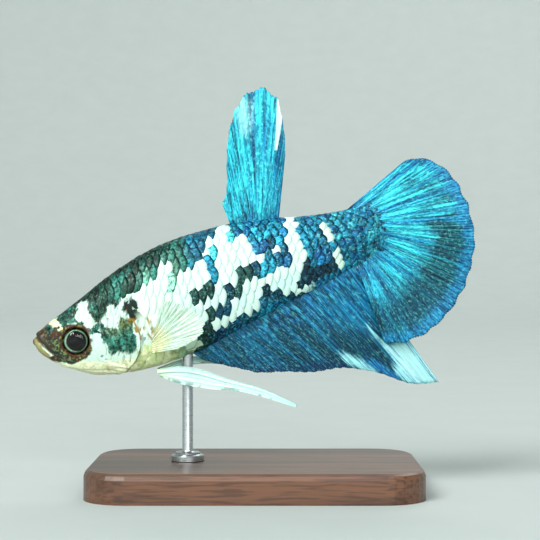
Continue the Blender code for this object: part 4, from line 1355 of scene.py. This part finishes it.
def tiny_scales(tone, points, share):
    """Small scales like those at the end of the body, drawn on the base of a fin where share is 1."""
    u, v = points[:, 0] + 0.3 * points[:, 2], points[:, 2]
    gaps, shades = [], []
    for shift in (0.0, 0.5):
        column = np.floor(u / TINY_SCALE[0] + shift)
        row = np.floor(v / TINY_SCALE[1] + shift)
        off_u = u / TINY_SCALE[0] + shift - column - 0.5
        off_v = v / TINY_SCALE[1] + shift - row - 0.5
        gaps.append(2 * np.abs(off_u) + 2 * np.abs(off_v))
        shades.append(clouds(np.stack([3.7 * column, 5.3 * row, 0 * row + 9 * shift], axis=-1), 1.0, 1))
    nearest = np.argmin(gaps, axis=0)
    gap, shade = np.choose(nearest, gaps), np.choose(nearest, shades)
    scaly = layered(
        "deep_blue", ("fin_bright", ramp(shade, -0.3, 0.1)), ("cyan", 0.5 * ramp(shade, 0.1, 0.4)),
        ("navy", 0.85 * ramp(gap, 0.70, 0.95)),
    )
    return layered(tone, (scaly, 0.8 * share))


print(f"scales of {TINY_SCALE[0]} by {TINY_SCALE[1]} mm are drawn on the base of a fin")

# %% [markdown]
# ## The tail fin
# The tail opens in a fan of more than a quarter turn. Its thirteen rays grow from the end of the body,
# and the lowest swing to the near side, in front of the fin below. Its colour runs from tiny blue scales
# at the root through bright streaks of cyan to a darker teal with a blue rim.

# %% Tail fin
TAIL_FAN = (47.9, -0.5)  # mm: the middle that the rays point from
TAIL_FAN_RADIUS, TAIL_FAN_FROM, TAIL_FAN_TO = 16.0, 45.0, -94.5  # mm, and degrees up from level
TAIL_TOP_CORNER, TAIL_LOW_CORNER, TAIL_CORNER_POWER = 3.3, 1.3, 14  # mm drawn in, and how abruptly
TAIL_RAYS = 13
SOLID_END = SECTIONS[15]  # the section where the solid body ends
CLEARANCE = 0.3  # mm between the solids of a fin and the body


def tail_root(a):
    """The end of the body, from its back to its belly."""
    height = 1 - 2 * np.asarray(a)
    middle = (SOLID_END[0:2] + SOLID_END[2:4]) / 2
    reach = (SOLID_END[0:2] - SOLID_END[2:4]) / 2
    spot = middle + reach * height[..., None]
    return spot + np.stack([TAIL_ROOT_BOW * (1 - height**2) + CLEARANCE, 0 * height], axis=-1)


def tail_rim(a):
    """An arc round the fan's middle, drawn in at both its corners."""
    angle = np.radians(TAIL_FAN_FROM + (TAIL_FAN_TO - TAIL_FAN_FROM) * a)
    radius = TAIL_FAN_RADIUS - TAIL_TOP_CORNER * (1 - a) ** TAIL_CORNER_POWER
    radius = radius - TAIL_LOW_CORNER * a**TAIL_CORNER_POWER
    return np.array(TAIL_FAN) + radius[..., None] * np.stack([np.cos(angle), np.sin(angle)], axis=-1)


def tail_lean(a, t, flat):
    """The lowest rays swing to the near side, and the rest sway a little."""
    lower = np.maximum(0, (a - 0.55) / 0.45)
    return -0.75 * lower**1.5 * np.minimum(1, 2.2 * t) + 0.25 * t * np.sin(4 * np.pi * a)


def tail_tones(a, t, points):
    """Tiny scales at the root, then streaks of cyan, a darker outer part and a blue rim."""
    wave = 0.10 * streaked(a, t, 9.0, 1.5, 3.0) + 0.08 * clouds(points, 2.5)
    lit = ramp(streaked(a, t, 36.0, 1.2, 7.0), -0.45, 0.10)
    lit = lit * (0.55 + 0.45 * ramp(a + 0.5 * wave, 0.92, 0.66)) * ramp(t + wave, 0.08, 0.30)
    outer = ramp(t + wave, 0.48, 0.66) * ramp(streaked(a, t, 20.0, 1.5, 11.0), -0.60, -0.05)
    lines = ramp(streaked(a, t, 64.0, 1.8, 17.0), 0.10, 0.40) * ramp(t, 0.05, 0.2)
    tone = layered(
        "fin_root", ("fin_blue", ramp(t + wave, 0.02, 0.20)), ("fin_cyan", lit),
        ("fin_teal", 0.95 * outer * ramp(a + wave, 0.10, 0.32)),
        ("fin_low", 0.75 * ramp(a + wave, 0.66, 0.82) * ramp(t + wave, 0.30, 0.60)),
        ("fin_dark", 0.5 * lines), ("fin_low", 0.25 * ramp(clouds(points + 13.0, 0.8), 0.05, 0.40)),
        ("fin_rim", 0.85 * ramp(t + 0.4 * wave, 0.84, 0.94)),
    )
    return tiny_scales(tone, points, ramp(t + wave, 0.28, 0.02))


tail = make_fin("tail_fin_rays", "tail_fin", tail_root, tail_rim, tail_lean, TAIL_RAYS,
                (0.12, 0.38, 0.66), (520, 60), fringe=0.34, notch=0.22, flare=0.35)
fin_tones(tail, tail_tones)

# %% [markdown]
# ## The dorsal and anal fins
# The fin on the back stands up like a narrow feather, its dozen rays almost parallel. The long fin under
# the tail has twice as many, swept back, and its rear lobe and one patch before it are white.

# %% Dorsal fin
DORSAL_FROM, DORSAL_TO, DORSAL_RAYS = 30.9, 37.9, 11  # mm along the back, and rays
DORSAL_RIM = (
    (30.7, 10.3), (32.0, 12.4), (33.1, 16.1), (34.4, 19.4), (36.2, 22.3), (38.6, 24.3), (41.1, 24.2),
    (42.5, 22.3), (42.4, 19.6), (41.9, 16.6), (41.2, 14.2),
)
DORSAL_STREAK = (
    (42.9, 21.9), (42.3, 19.4), (41.4, 17.4), (40.3, 15.3), (40.0, 15.3), (40.9, 17.5), (42.4, 21.9),
)
DORSAL_PALE = ((37.0, 24.0), (39.6, 23.2), (38.3, 19.6), (36.9, 17.8), (36.0, 18.8), (36.0, 21.5))
back_line = edge_line(DORSAL_FROM, DORSAL_TO, 0)


def dorsal_tones(a, t, points):
    """Cyan streaks on blue, with a pale patch at the tip and a white streak down the rear edge."""
    u, v = points[:, 0], points[:, 2]
    wave = 0.12 * streaked(a, t, 8.0, 1.2, 5.0)
    tone = layered(
        "fin_blue", ("fin_cyan", 0.95 * ramp(streaked(a, t, 26.0, 1.6, 9.0), -0.50, 0.05)),
        ("fin_root", 0.7 * ramp(a + wave, 0.72, 0.90)),
        ("fin_navy", 0.7 * ramp(streaked(a, t, 34.0, 2.0, 13.0), 0.20, 0.42)),
    )
    return layered(
        tiny_scales(tone, points, ramp(t + 0.7 * wave, 0.10, 0.00)),
        ("fin_pale", 0.75 * ramp(inside(u, v, DORSAL_PALE) + 6 * wave, -0.5, 0.9)),
        ("fin_white", ramp(inside(u, v, DORSAL_STREAK) + 0.5 * wave, -0.12, 0.04)),
    )


dorsal = make_fin(
    "dorsal_fin_rays", "dorsal_fin", lambda a: back_line(a) + (0, CLEARANCE),
    lambda a: along(DORSAL_RIM, a), lambda a, t, flat: 0.35 * t**2 * np.sin(np.pi * a),
    DORSAL_RAYS, (0.30, 0.60, 0.85), (400, 64),
)
fin_tones(dorsal, dorsal_tones)

# %% Anal fin
ANAL_FROM, ANAL_TO, ANAL_RAYS = 21.0, 46.3, 24  # mm along the belly, and rays
ANAL_SWEEP = ((0.0, 0.29, 0.57, 0.86, 1.0), (0.0, 0.39, 0.64, 0.94, 1.0))  # share of root, and of rim
ANAL_RIM = (
    (21.9, -10.1), (23.8, -11.3), (26.5, -12.8), (28.8, -14.1), (32.0, -14.9), (36.0, -16.2),
    (40.3, -16.9), (44.6, -18.9), (48.9, -21.9), (52.6, -22.8),
)
WHITE_WEDGE = (
    (40.4, -14.5), (41.4, -15.0), (42.3, -15.8), (43.2, -16.8), (43.9, -17.8), (45.0, -19.4), (44.3, -19.2),
    (43.6, -18.6), (41.9, -17.1), (40.7, -16.1), (40.4, -15.1),
)
WHITE_LOBE = (
    (45.0, -12.3), (45.6, -13.2), (46.3, -14.6), (47.0, -15.4), (48.2, -15.6), (50.1, -16.1),
    (51.7, -19.8), (53.3, -22.9), (51.8, -23.2), (49.8, -22.5), (48.3, -21.4), (47.6, -20.3), (47.1, -19.7),
    (47.2, -17.8), (46.7, -16.3), (46.2, -15.1), (45.4, -13.9),
)
BRIGHT_BAND = (
    (42.8, -16.6), (44.1, -17.9), (45.5, -19.6), (46.7, -20.7), (47.8, -21.7), (47.4, -19.8), (44.4, -16.9),
)
belly_line = edge_line(ANAL_FROM, ANAL_TO, 1)


def anal_tones(a, t, points):
    """Dark blue, brighter towards the rear, with two white parts that fray along the rays."""
    u, v = points[:, 0], points[:, 2]
    wave = 0.12 * streaked(a, t, 10.0, 1.0, 21.0)
    tone = layered(
        "fin_low", ("fin_root", 0.7 * ramp(streaked(a, t, 44.0, 1.2, 23.0), -0.20, 0.30)),
        ("fin_blue", 0.8 * ramp(a + wave, 0.45, 0.80) * ramp(t + wave, 0.60, 0.25)),
        ("fin_dark", 0.55 * ramp(streaked(a, t, 90.0, 1.6, 27.0), 0.0, 0.35)),
        ("fin_navy", 0.9 * ramp(t + 0.6 * wave, 0.72, 0.95)),
    )
    tone = tiny_scales(tone, points, ramp(t + wave, 0.30, 0.08) * ramp(a, 0.1, 0.5))
    fray = 0.5 * streaked(a, t, 60.0, 2.0, 31.0)
    tone = layered(tone, ("fin_bright", 0.9 * ramp(inside(u, v, BRIGHT_BAND) + fray, -0.3, 0.3)))
    for outline, wander in ((WHITE_WEDGE, 0.2), (WHITE_LOBE, 0.8)):
        depth = inside(u, v, outline) + fray + wander * streaked(a, t, 26.0, 1.2, 33.0)
        lines = ramp(streaked(a, t, 110.0, 1.0, 35.0), 0.05, 0.40) * ramp(depth, 2.2, 0.9)
        tone = layered(
            tone, ("fin_pale", ramp(depth, -0.40, 0.30)), ("fin_white", 0.4 * ramp(depth, 0.2, 0.9)),
            ("fin_bright", 0.45 * lines * ramp(depth, -0.4, 0.3)),
        )
    return tone


def anal_lean(a, t, flat):
    """The rear lobe swings to the far side."""
    rear = np.maximum(0, (a - 0.6) / 0.4)
    return 0.75 * rear**1.2 * np.minimum(1, 2.5 * t)


anal = make_fin(
    "anal_fin_rays", "anal_fin", lambda a: belly_line(a) - (0, CLEARANCE),
    lambda a: along(ANAL_RIM, np.interp(a, *ANAL_SWEEP)), anal_lean, ANAL_RAYS, (0.35, 0.70), (560, 48),
    fringe=0.14, notch=0.15,
)
fin_tones(anal, anal_tones)

# %% [markdown]
# ## The paired fins
# The pectoral fins are clear fans on the flanks, behind the gill covers. The pelvic fins under the breast
# are long, narrow and pearly white, folded to a blade that is drawn out to a thread.

# %% Pectoral and pelvic fins
PECTORAL_ROOT = ((16.4, -4.5), (16.0, -6.9))
PECTORAL_RIM = (
    (19.4, 0.1), (21.4, -1.2), (23.1, -2.8), (23.9, -4.6), (23.2, -6.2), (21.6, -6.9), (19.4, -7.3),
)
PECTORAL_RAYS, PECTORAL_SPREAD, PECTORAL_STAND_OFF = 9, 2.4, 0.35  # mm out at the rim and at the root
PELVIC_RAYS, PELVIC_ROOT_Y, PELVIC_SPREAD = 4, 0.95, 2.3  # mm from the middle plane, and further out
PELVIC_LEFT = (
    ((15.2, -9.45), (18.6, -9.9), (21.2, -11.1), (24.2, -13.3), (28.6, -16.1), (32.5, -19.4)),
    ((15.4, -10.3), (17.8, -12.1), (21.4, -13.9), (25.3, -15.4), (28.3, -17.1), (32.3, -19.8)),
)
PELVIC_RIGHT = (
    ((15.2, -9.45), (18.6, -9.2), (21.6, -9.5), (25.2, -10.8), (29.5, -12.5), (34.0, -13.7)),
    ((15.5, -9.85), (18.4, -10.0), (21.2, -10.4), (25.0, -11.7), (29.2, -13.2), (33.9, -14.0)),
)


def flank_y(spot):
    """Half the body's width nearest this spot in side view."""
    half = form[:, GIRTH_STEPS // 2 :]
    gap = np.hypot(half[..., 0] - spot[0], half[..., 2] - spot[1])
    return float(half[..., 1].ravel()[gap.argmin()])


def pectoral_tones(a, t, points):
    """White, with a cream root and a few golden streaks on it."""
    golden = ramp(streaked(a, t, 12.0, 0.8, 41.0), -0.1, 0.4) * ramp(t, 0.45, 0.10)
    return layered("cream", ("orange", 0.35 * golden), ("white", 0.9 * ramp(t, 0.15, 0.45)))


def pelvic_tones(a, t, points):
    """Pearly white, with a few dark flecks along the lower edge."""
    flecks = ramp(a, 0.70, 0.98) * ramp(clouds(points, 0.7), 0.05, 0.3) * ramp(t, 0.95, 0.75)
    return layered("fin_white", ("breast", 0.5 * ramp(t, 0.15, 0.0)), ("dark_teal", 0.6 * flecks))


pectorals, pelvics = [], []
for side, word, lines in ((-1, "left", PELVIC_LEFT), (1, "right", PELVIC_RIGHT)):
    base = flank_y(along(PECTORAL_ROOT, 0.5))

    def stand_off(a, t, flat, side=side, base=base):
        return side * (base + PECTORAL_STAND_OFF * ramp(t, 0.0, 0.1) + PECTORAL_SPREAD * t)

    pectoral = make_fin(
        f"pectoral_{word}", f"pectoral_fin_{word}", lambda a: along(PECTORAL_ROOT, a),
        lambda a: along(PECTORAL_RIM, a), stand_off, PECTORAL_RAYS, (0.35, 0.70), (200, 44),
        sunk=0.5, fringe=0.20, thickness=0.20,
    )
    fin_tones(pectoral, pectoral_tones)
    pectorals.append(pectoral)

    def trail(a, t, flat, side=side):
        return side * (PELVIC_ROOT_Y + PELVIC_SPREAD * a**0.8 + 0.10 * np.sin(3 * np.pi * t) * (1 - a))

    pelvic = make_fin(
        f"pelvic_{word}", f"pelvic_fin_{word}", lambda a, lines=lines: along(lines[0], a),
        lambda a, lines=lines: along(lines[1], a), trail, PELVIC_RAYS, (), (160, 48),
        sunk=0.0, fringe=0.0, notch=0.0, thickness=0.5, lengthwise=True,
    )
    fin_tones(pelvic, pelvic_tones)
    pelvics.append(pelvic)

# %% [markdown]
# ## The finish of the fins
# The web carries the same guanine as the scales, laid in fine streaks along the rays, so a noise is
# stretched along the fin's own map. Dark lines run beside the rays. The pectoral fins are clear, and let
# the flank show through between their rays.

# %% Fin material
STREAK, DASH = (0.30, 4.0), (0.20, 0.60)  # mm wide and long: real crystals are finer, so drawn coarser
BLUE_SHADE = (0.16, 0.27, 0.36, 1.0)  # what the dark lines leave of the tone's red, green and blue


def fin_web(name, size, metallic, shade, clear=1.0, on_pale=0.12):
    """Streaks of guanine in a wet web, on a fin of this size in mm across its rays and out along them."""
    made, tree = new_material(name)
    place = add(tree, "TexCoord", output="Object")
    own = add(tree, "UVMap", uv_map="rays")
    tone = add(tree, "Attribute", output="Color", attribute_name="tone")
    ray = add(tree, "Attribute", output="Fac", attribute_name="ray")
    noises = []
    for (width, length), shift, detail in ((STREAK, (0.0, 0.0, 0.0), 3.0), (DASH, (3.0, 7.0, 5.0), 2.0)):
        scale = (size[0] / width, size[1] / length, 1.0)
        stretched = add(tree, "Mapping", {"Vector": own, "Scale": scale, "Location": shift})
        noises.append(add(tree, "TexNoise", {"Vector": stretched, "Scale": 1.0, "Detail": detail}))
    streak, dash = noises
    lumps = {"Vector": place, "Scale": per_metre(SPECK), "Detail": 2.0, "Roughness": 0.6}
    specks = add(tree, "TexNoise", lumps)
    light = add(tree, "RGBToBW", {0: tone})
    weight = add(tree, "MapRange", {0: light, 1: 0.40, 2: 0.75, 3: 1.0, 4: on_pale}, **SMOOTH)
    darker = add(tree, "Mix", {0: 1.0, 6: tone, 7: shade}, 2, **DARKEN)
    brighter = add(tree, "Mix", {0: 1.0, 6: tone, 7: (2.0, 1.75, 1.55, 1.0)}, 2, **DARKEN)
    glint = add(tree, "Mix", {0: 0.35, 6: brighter, 7: colour("#7FE6CE")}, 2, **MIX)
    outwards = add(tree, "SeparateXYZ", {0: own}, output=1)
    outer = add(tree, "MapRange", {0: outwards, 1: 0.05, 2: 0.9, 3: 0.25, 4: 0.75}, **SMOOTH)
    beside = add(tree, "Math", {0: outer, 1: weight}, operation="MULTIPLY")
    shown = patterned(tree, tone, (
        (streak, 0.50, 0.38, 0.85, weight, darker), (streak, 0.54, 0.66, 0.75, weight, brighter),
        (ray, 0.75, 0.15, 1.0, beside, darker), (dash, 0.46, 0.36, 0.75, weight, darker),
        (dash, 0.56, 0.68, 0.60, weight, glint), (specks, 0.58, 0.68, 0.40, weight, glint),
    ))
    height = add(tree, "Math", {0: ray, 1: 0.7, 2: streak}, operation="MULTIPLY_ADD")
    finish(
        tree, Base_Color=shown, Metallic=metallic, IOR=1.36, Specular_IOR_Level=0.30,
        Coat_Weight=0.10, Coat_Roughness=0.18, Coat_IOR=1.34,
        Roughness=add(tree, "MapRange", {0: specks, 1: 0.3, 2: 0.7, 3: 0.30, 4: 0.5}, **SMOOTH),
        Normal=add(tree, "Bump", {"Height": height, "Strength": 0.4, "Distance": BUMP}),
    )
    if clear < 1:
        finish(tree, Alpha=add(tree, "MapRange", {0: ray, 1: 0.15, 2: 0.8, 3: clear, 4: 0.95}, **SMOOTH))
    return made


# guanine in a thin web: a metallic blue sheen, broken into streaks that run out along the rays
tail.data.materials.append(fin_web("guanine_tail_web", (26.0, 15.0), 0.30, BLUE_SHADE))
dorsal.data.materials.append(fin_web("guanine_dorsal_web", (9.0, 16.0), 0.28, BLUE_SHADE))
anal.data.materials.append(fin_web("guanine_anal_web", (29.0, 8.0), 0.28, BLUE_SHADE))
# a clear web and a pearly one: the first lets the flank show through, the second is milky and pale
clear_web = fin_web("clear_pectoral_web", (7.0, 8.0), 0.0, (0.60, 0.55, 0.40, 1.0), 0.40, 0.55)
pearl_web = fin_web("pearl_pelvic_web", (3.0, 20.0), 0.05, (0.65, 0.75, 0.70, 1.0), on_pale=0.30)
for pectoral, pelvic in zip(pectorals, pelvics):
    pectoral.data.materials.append(clear_web)
    pelvic.data.materials.append(pearl_web)
print("fins finished")

# %% [markdown]
# ## The eyes
# A fish's eye is a flattened ball under a clear dome. The iris is a nearly black ring with a thin silvery
# green rim, round a black pupil; the rim is broader towards the jaws. The ball is modelled first, its
# front pressed in to a shallow dish with the pupil at the bottom. The cornea is a second, clear piece over
# it, which gives the wet highlight.

# %% Eyeballs
EYE_Y, EYE_THICKNESS = 1.92, 1.20  # mm
EYE_FULLNESS = 2.8  # 2 is an ellipse in section, more is fuller at the edge
PUPIL, IRIS, RING = 0.90, 1.48, 1.58  # mm: radius of each part of the eye
FRONT_SHIFT, FRONT_RING = 0.24, 0.80  # mm that the pale rim starts further in, and its widening, in front
CORNEA = 0.06  # mm that the cornea stands out from the eyeball
IRIS_DISH, PUPIL_DISH = 0.20, 0.22  # mm


def eyeball(name, side, radius, thickness):
    """A flattened ball with its poles on the y axis."""
    deselect_all()
    bpy.ops.mesh.primitive_uv_sphere_add(
        segments=96, ring_count=64, radius=radius * MM, rotation=(math.radians(90), 0, 0), calc_uvs=False
    )
    ball = bpy.context.object
    ball.name = ball.data.name = name
    ball.scale = (1, 1, thickness / radius)
    ball.location = to_model([(EYE_X, side * EYE_Y, EYE_Z)])[0]
    bpy.ops.object.transform_apply(location=True, rotation=True, scale=True)
    points = points_of(ball)
    out = np.clip(np.hypot(points[:, 0] - EYE_X, points[:, 2] - EYE_Z) / radius, 0, 1)
    bulge = thickness * (1 - out**EYE_FULLNESS) ** (1 / EYE_FULLNESS)
    points[:, 1] = side * EYE_Y + np.sign(points[:, 1] - side * EYE_Y) * bulge
    move_points(ball, points)
    faces_outwards(ball)
    return ball


eyes, corneas = [], []
for side, word in ((-1, "left"), (1, "right")):
    eye = eyeball(f"eyeball_{word}", side, EYE_RADIUS - CORNEA, EYE_THICKNESS - CORNEA)
    points = points_of(eye)
    radius = np.hypot(points[:, 0] - EYE_X, points[:, 2] - EYE_Z)
    outer = side * points[:, 1] > EYE_Y
    dish = IRIS_DISH * ramp(radius, RING, 1.0) + PUPIL_DISH * ramp(radius, PUPIL + 0.05, PUPIL - 0.06)
    points[:, 1] -= side * dish * outer
    move_points(eye, points)
    in_front = ramp((EYE_X - points[:, 0]) / np.maximum(radius, 0.01), -0.2, 0.9)
    shifted = radius + FRONT_SHIFT * in_front * ramp(radius, PUPIL, IRIS)
    write_attribute(eye.data, "radius", shifted - FRONT_RING * in_front * np.maximum(0, shifted - IRIS))
    cornea = eyeball(f"cornea_{word}", side, EYE_RADIUS, EYE_THICKNESS)
    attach(eye, "root")
    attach(cornea, "root")
    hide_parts(f"eye_{word}")
    eyes.append(eye)
    corneas.append(cornea)
print(f"eyes {2 * EYE_RADIUS:.1f} mm across")

# %% [markdown]
# ## Iris, pupil and cornea
# The iris is a film of dark pigment with gold and green flecks, smooth and wet, and the pale rim glints
# like metal. The cornea is as clear as water, with an IOR of 1.376, and polished by the wet on it.

# %% Eye materials
FLECK = 0.25  # mm
EYE_REACH = 2.0  # mm from the middle of the eye that the rings are laid out over
EYE_RINGS = (  # where each ring begins, in mm from the middle, and its colour
    (0.0, "#000101"), (PUPIL - 0.10, "#000101"), (PUPIL - 0.01, "#2A1C16"), (PUPIL + 0.08, "#070A09"),
    (IRIS - 0.14, "#0A0E0B"), (IRIS - 0.06, "#3D5440"), (IRIS + 0.02, "#A8CDB5"), (RING - 0.04, "#7FAA92"),
    (RING + 0.06, "#2A3327"),
)
# a wet film of pigment: deep black with a few gold flecks, and a pale rim that glints
iris_film, tree = new_material("iris_film")
radius = add(tree, "Attribute", output="Fac", attribute_name="radius")
place = add(tree, "TexCoord", output="Object")
flecks = add(tree, "TexNoise", {"Vector": place, "Scale": per_metre(FLECK), "Detail": 4.0})
uneven = add(tree, "Math", {0: flecks, 1: 0.10, 2: -0.05}, operation="MULTIPLY_ADD")
wavering = add(tree, "Math", {0: radius, 1: uneven}, operation="ADD")
along_ramp = add(tree, "Math", {0: wavering, 1: 1 / EYE_REACH}, operation="MULTIPLY")
rings = add(tree, "ValToRGB", {0: along_ramp})
stops = rings.node.color_ramp.elements
stops.remove(stops[1])
for index, (start, text) in enumerate(EYE_RINGS):
    if index:
        stops.new(start / EYE_REACH)
    stops[index].color = colour(text)
gold = add(tree, "Mix", {0: 1.0, 6: rings, 7: (2.2, 2.0, 1.5, 1.0)}, 2, **DARKEN)
on_flecks = add(tree, "MapRange", {0: flecks, 1: 0.52, 2: 0.68}, **SMOOTH)
finish(
    tree, Base_Color=add(tree, "Mix", {0: on_flecks, 6: rings, 7: gold}, 2, **MIX),
    Metallic=add(tree, "MapRange", {0: radius, 1: IRIS, 2: RING, 4: 0.5}, **SMOOTH),
    Roughness=0.35, IOR=1.38, Specular_IOR_Level=0.03,
)

# a clear wet dome: a small sharp highlight, and the dark iris seen through it
clear_cornea, tree = new_material("clear_cornea")
finish(tree, Base_Color=colour("#F4FFFA"), Roughness=0.02, IOR=1.376, Transmission_Weight=1.0)
for eye, cornea in zip(eyes, corneas):
    eye.data.materials.append(iris_film)
    cornea.data.materials.append(clear_cornea)
print(len(EYE_RINGS), "rings of colour in each eye")

# %% [markdown]
# ## The stand
# The fish is held over a small walnut base by one steel rod, turned in one piece with its collar on a
# lathe. The outline is half a section of it, spun round once. The base keeps its own solid and gets the
# wood.

# %% Rod and collar, turned
ROD_X, ROD_RADIUS, BASE_TOP, ROD_TOP, COLLAR_TOP = -9.5, 0.75, 4.0, 20.4, 5.25  # mm
TURNED_OUTLINE = (
    (0.0, BASE_TOP), (2.20, BASE_TOP), (2.30, 4.10), (2.30, 4.72), (2.20, 4.86), (1.85, 4.92), (1.75, 5.0),
    (1.75, COLLAR_TOP - 0.10), (1.65, COLLAR_TOP), (1.05, COLLAR_TOP), (0.85, COLLAR_TOP + 0.12),
    (ROD_RADIUS, COLLAR_TOP + 0.40), (ROD_RADIUS, ROD_TOP - 0.2), (0.55, ROD_TOP), (0.0, ROD_TOP),
)
deselect_all()
bpy.ops.mesh.primitive_plane_add(size=MM)
post = bpy.context.object
post.name = post.data.name = "stand_post"
bpy.ops.object.mode_set(mode="EDIT")
bpy.ops.mesh.select_mode(type="VERT")
bpy.ops.mesh.select_all(action="SELECT")
bpy.ops.mesh.merge(type="CENTER")
bpy.ops.transform.translate(value=(ROD_X * MM, 0, BASE_TOP * MM))
for (r0, z0), (r1, z1) in zip(TURNED_OUTLINE, TURNED_OUTLINE[1:]):
    step = ((r1 - r0) * MM, 0, (z1 - z0) * MM)
    bpy.ops.mesh.extrude_vertices_move(TRANSFORM_OT_translate={"value": step})
bpy.ops.mesh.select_all(action="SELECT")
bpy.ops.mesh.spin(steps=64, angle=math.radians(360), center=(ROD_X * MM, 0, 0), axis=(0, 0, 1))
bpy.ops.object.mode_set(mode="OBJECT")
bpy.ops.object.transform_apply(location=True, rotation=True, scale=True)
faces_outwards(post, MERGE / 2)
bpy.ops.object.shade_smooth_by_angle(angle=math.radians(35))
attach(post, "root")
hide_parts("stand_rod", "stand_collar")
print(f"post of {triangles(post)} triangles")

# %% [markdown]
# ## Walnut and steel
# Walnut is dark brown, with fine straight grain and darker bands a few millimetres apart, and an oil
# finish that is only half glossy. The steel was polished round and round on the lathe, so fine rings
# cross it; they are drawn coarser than real ones.

# %% Stand materials
BANDS, FIBRES, LATHE_RINGS = 4.0, 0.35, 0.12  # mm: real fibres and rings are finer than these
# walnut, planed and oiled: warm brown streaks under a soft sheen
walnut, tree = new_material("oiled_walnut")
place = add(tree, "TexCoord", output="Object")
grained = add(tree, "Mapping", {"Vector": place, "Scale": (0.06, 1.0, 1.0)})
lumps = {"Vector": grained, "Scale": per_metre(BANDS), "Detail": 3.0, "Distortion": 0.6}
bands = add(tree, "TexNoise", lumps)
fibres = add(tree, "TexNoise", {"Vector": grained, "Scale": per_metre(FIBRES), "Detail": 5.0})
on_bands = add(tree, "MapRange", {0: bands, 1: 0.35, 2: 0.65}, **SMOOTH)
on_fibres = add(tree, "MapRange", {0: fibres, 1: 0.45, 2: 0.62, 4: 0.55}, **SMOOTH)
wood = add(tree, "Mix", {0: on_bands, 6: colour("#3A2417"), 7: colour("#6B4630")}, 2, **MIX)
finish(
    tree, Base_Color=add(tree, "Mix", {0: on_fibres, 6: wood, 7: colour("#2A1910")}, 2, **MIX),
    Normal=add(tree, "Bump", {"Height": fibres, "Strength": 0.25, "Distance": BUMP}),
    Roughness=0.42, IOR=1.5, Coat_Weight=0.15, Coat_Roughness=0.25,
)
base = bpy.data.objects["stand_base"]
base.data.materials.clear()
base.data.materials.append(walnut)

# steel, turned and polished: a bright grey that is blurred along fine rings
steel, tree = new_material("turned_steel")
place = add(tree, "TexCoord", output="Object")
turned = add(tree, "Mapping", {"Vector": place, "Scale": (0.05, 0.05, 1.0)})
rings = add(tree, "TexNoise", {"Vector": turned, "Scale": per_metre(LATHE_RINGS), "Detail": 3.0})
finish(
    tree, Base_Color=add(tree, "Mix", {0: rings, 6: colour("#A6ABAE"), 7: colour("#BCC1C4")}, 2, **MIX),
    Roughness=add(tree, "MapRange", {0: rings, 1: 0.3, 2: 0.7, 3: 0.26, 4: 0.32}, **SMOOTH), Metallic=1.0,
)
post.data.materials.append(steel)
print("stand finished")
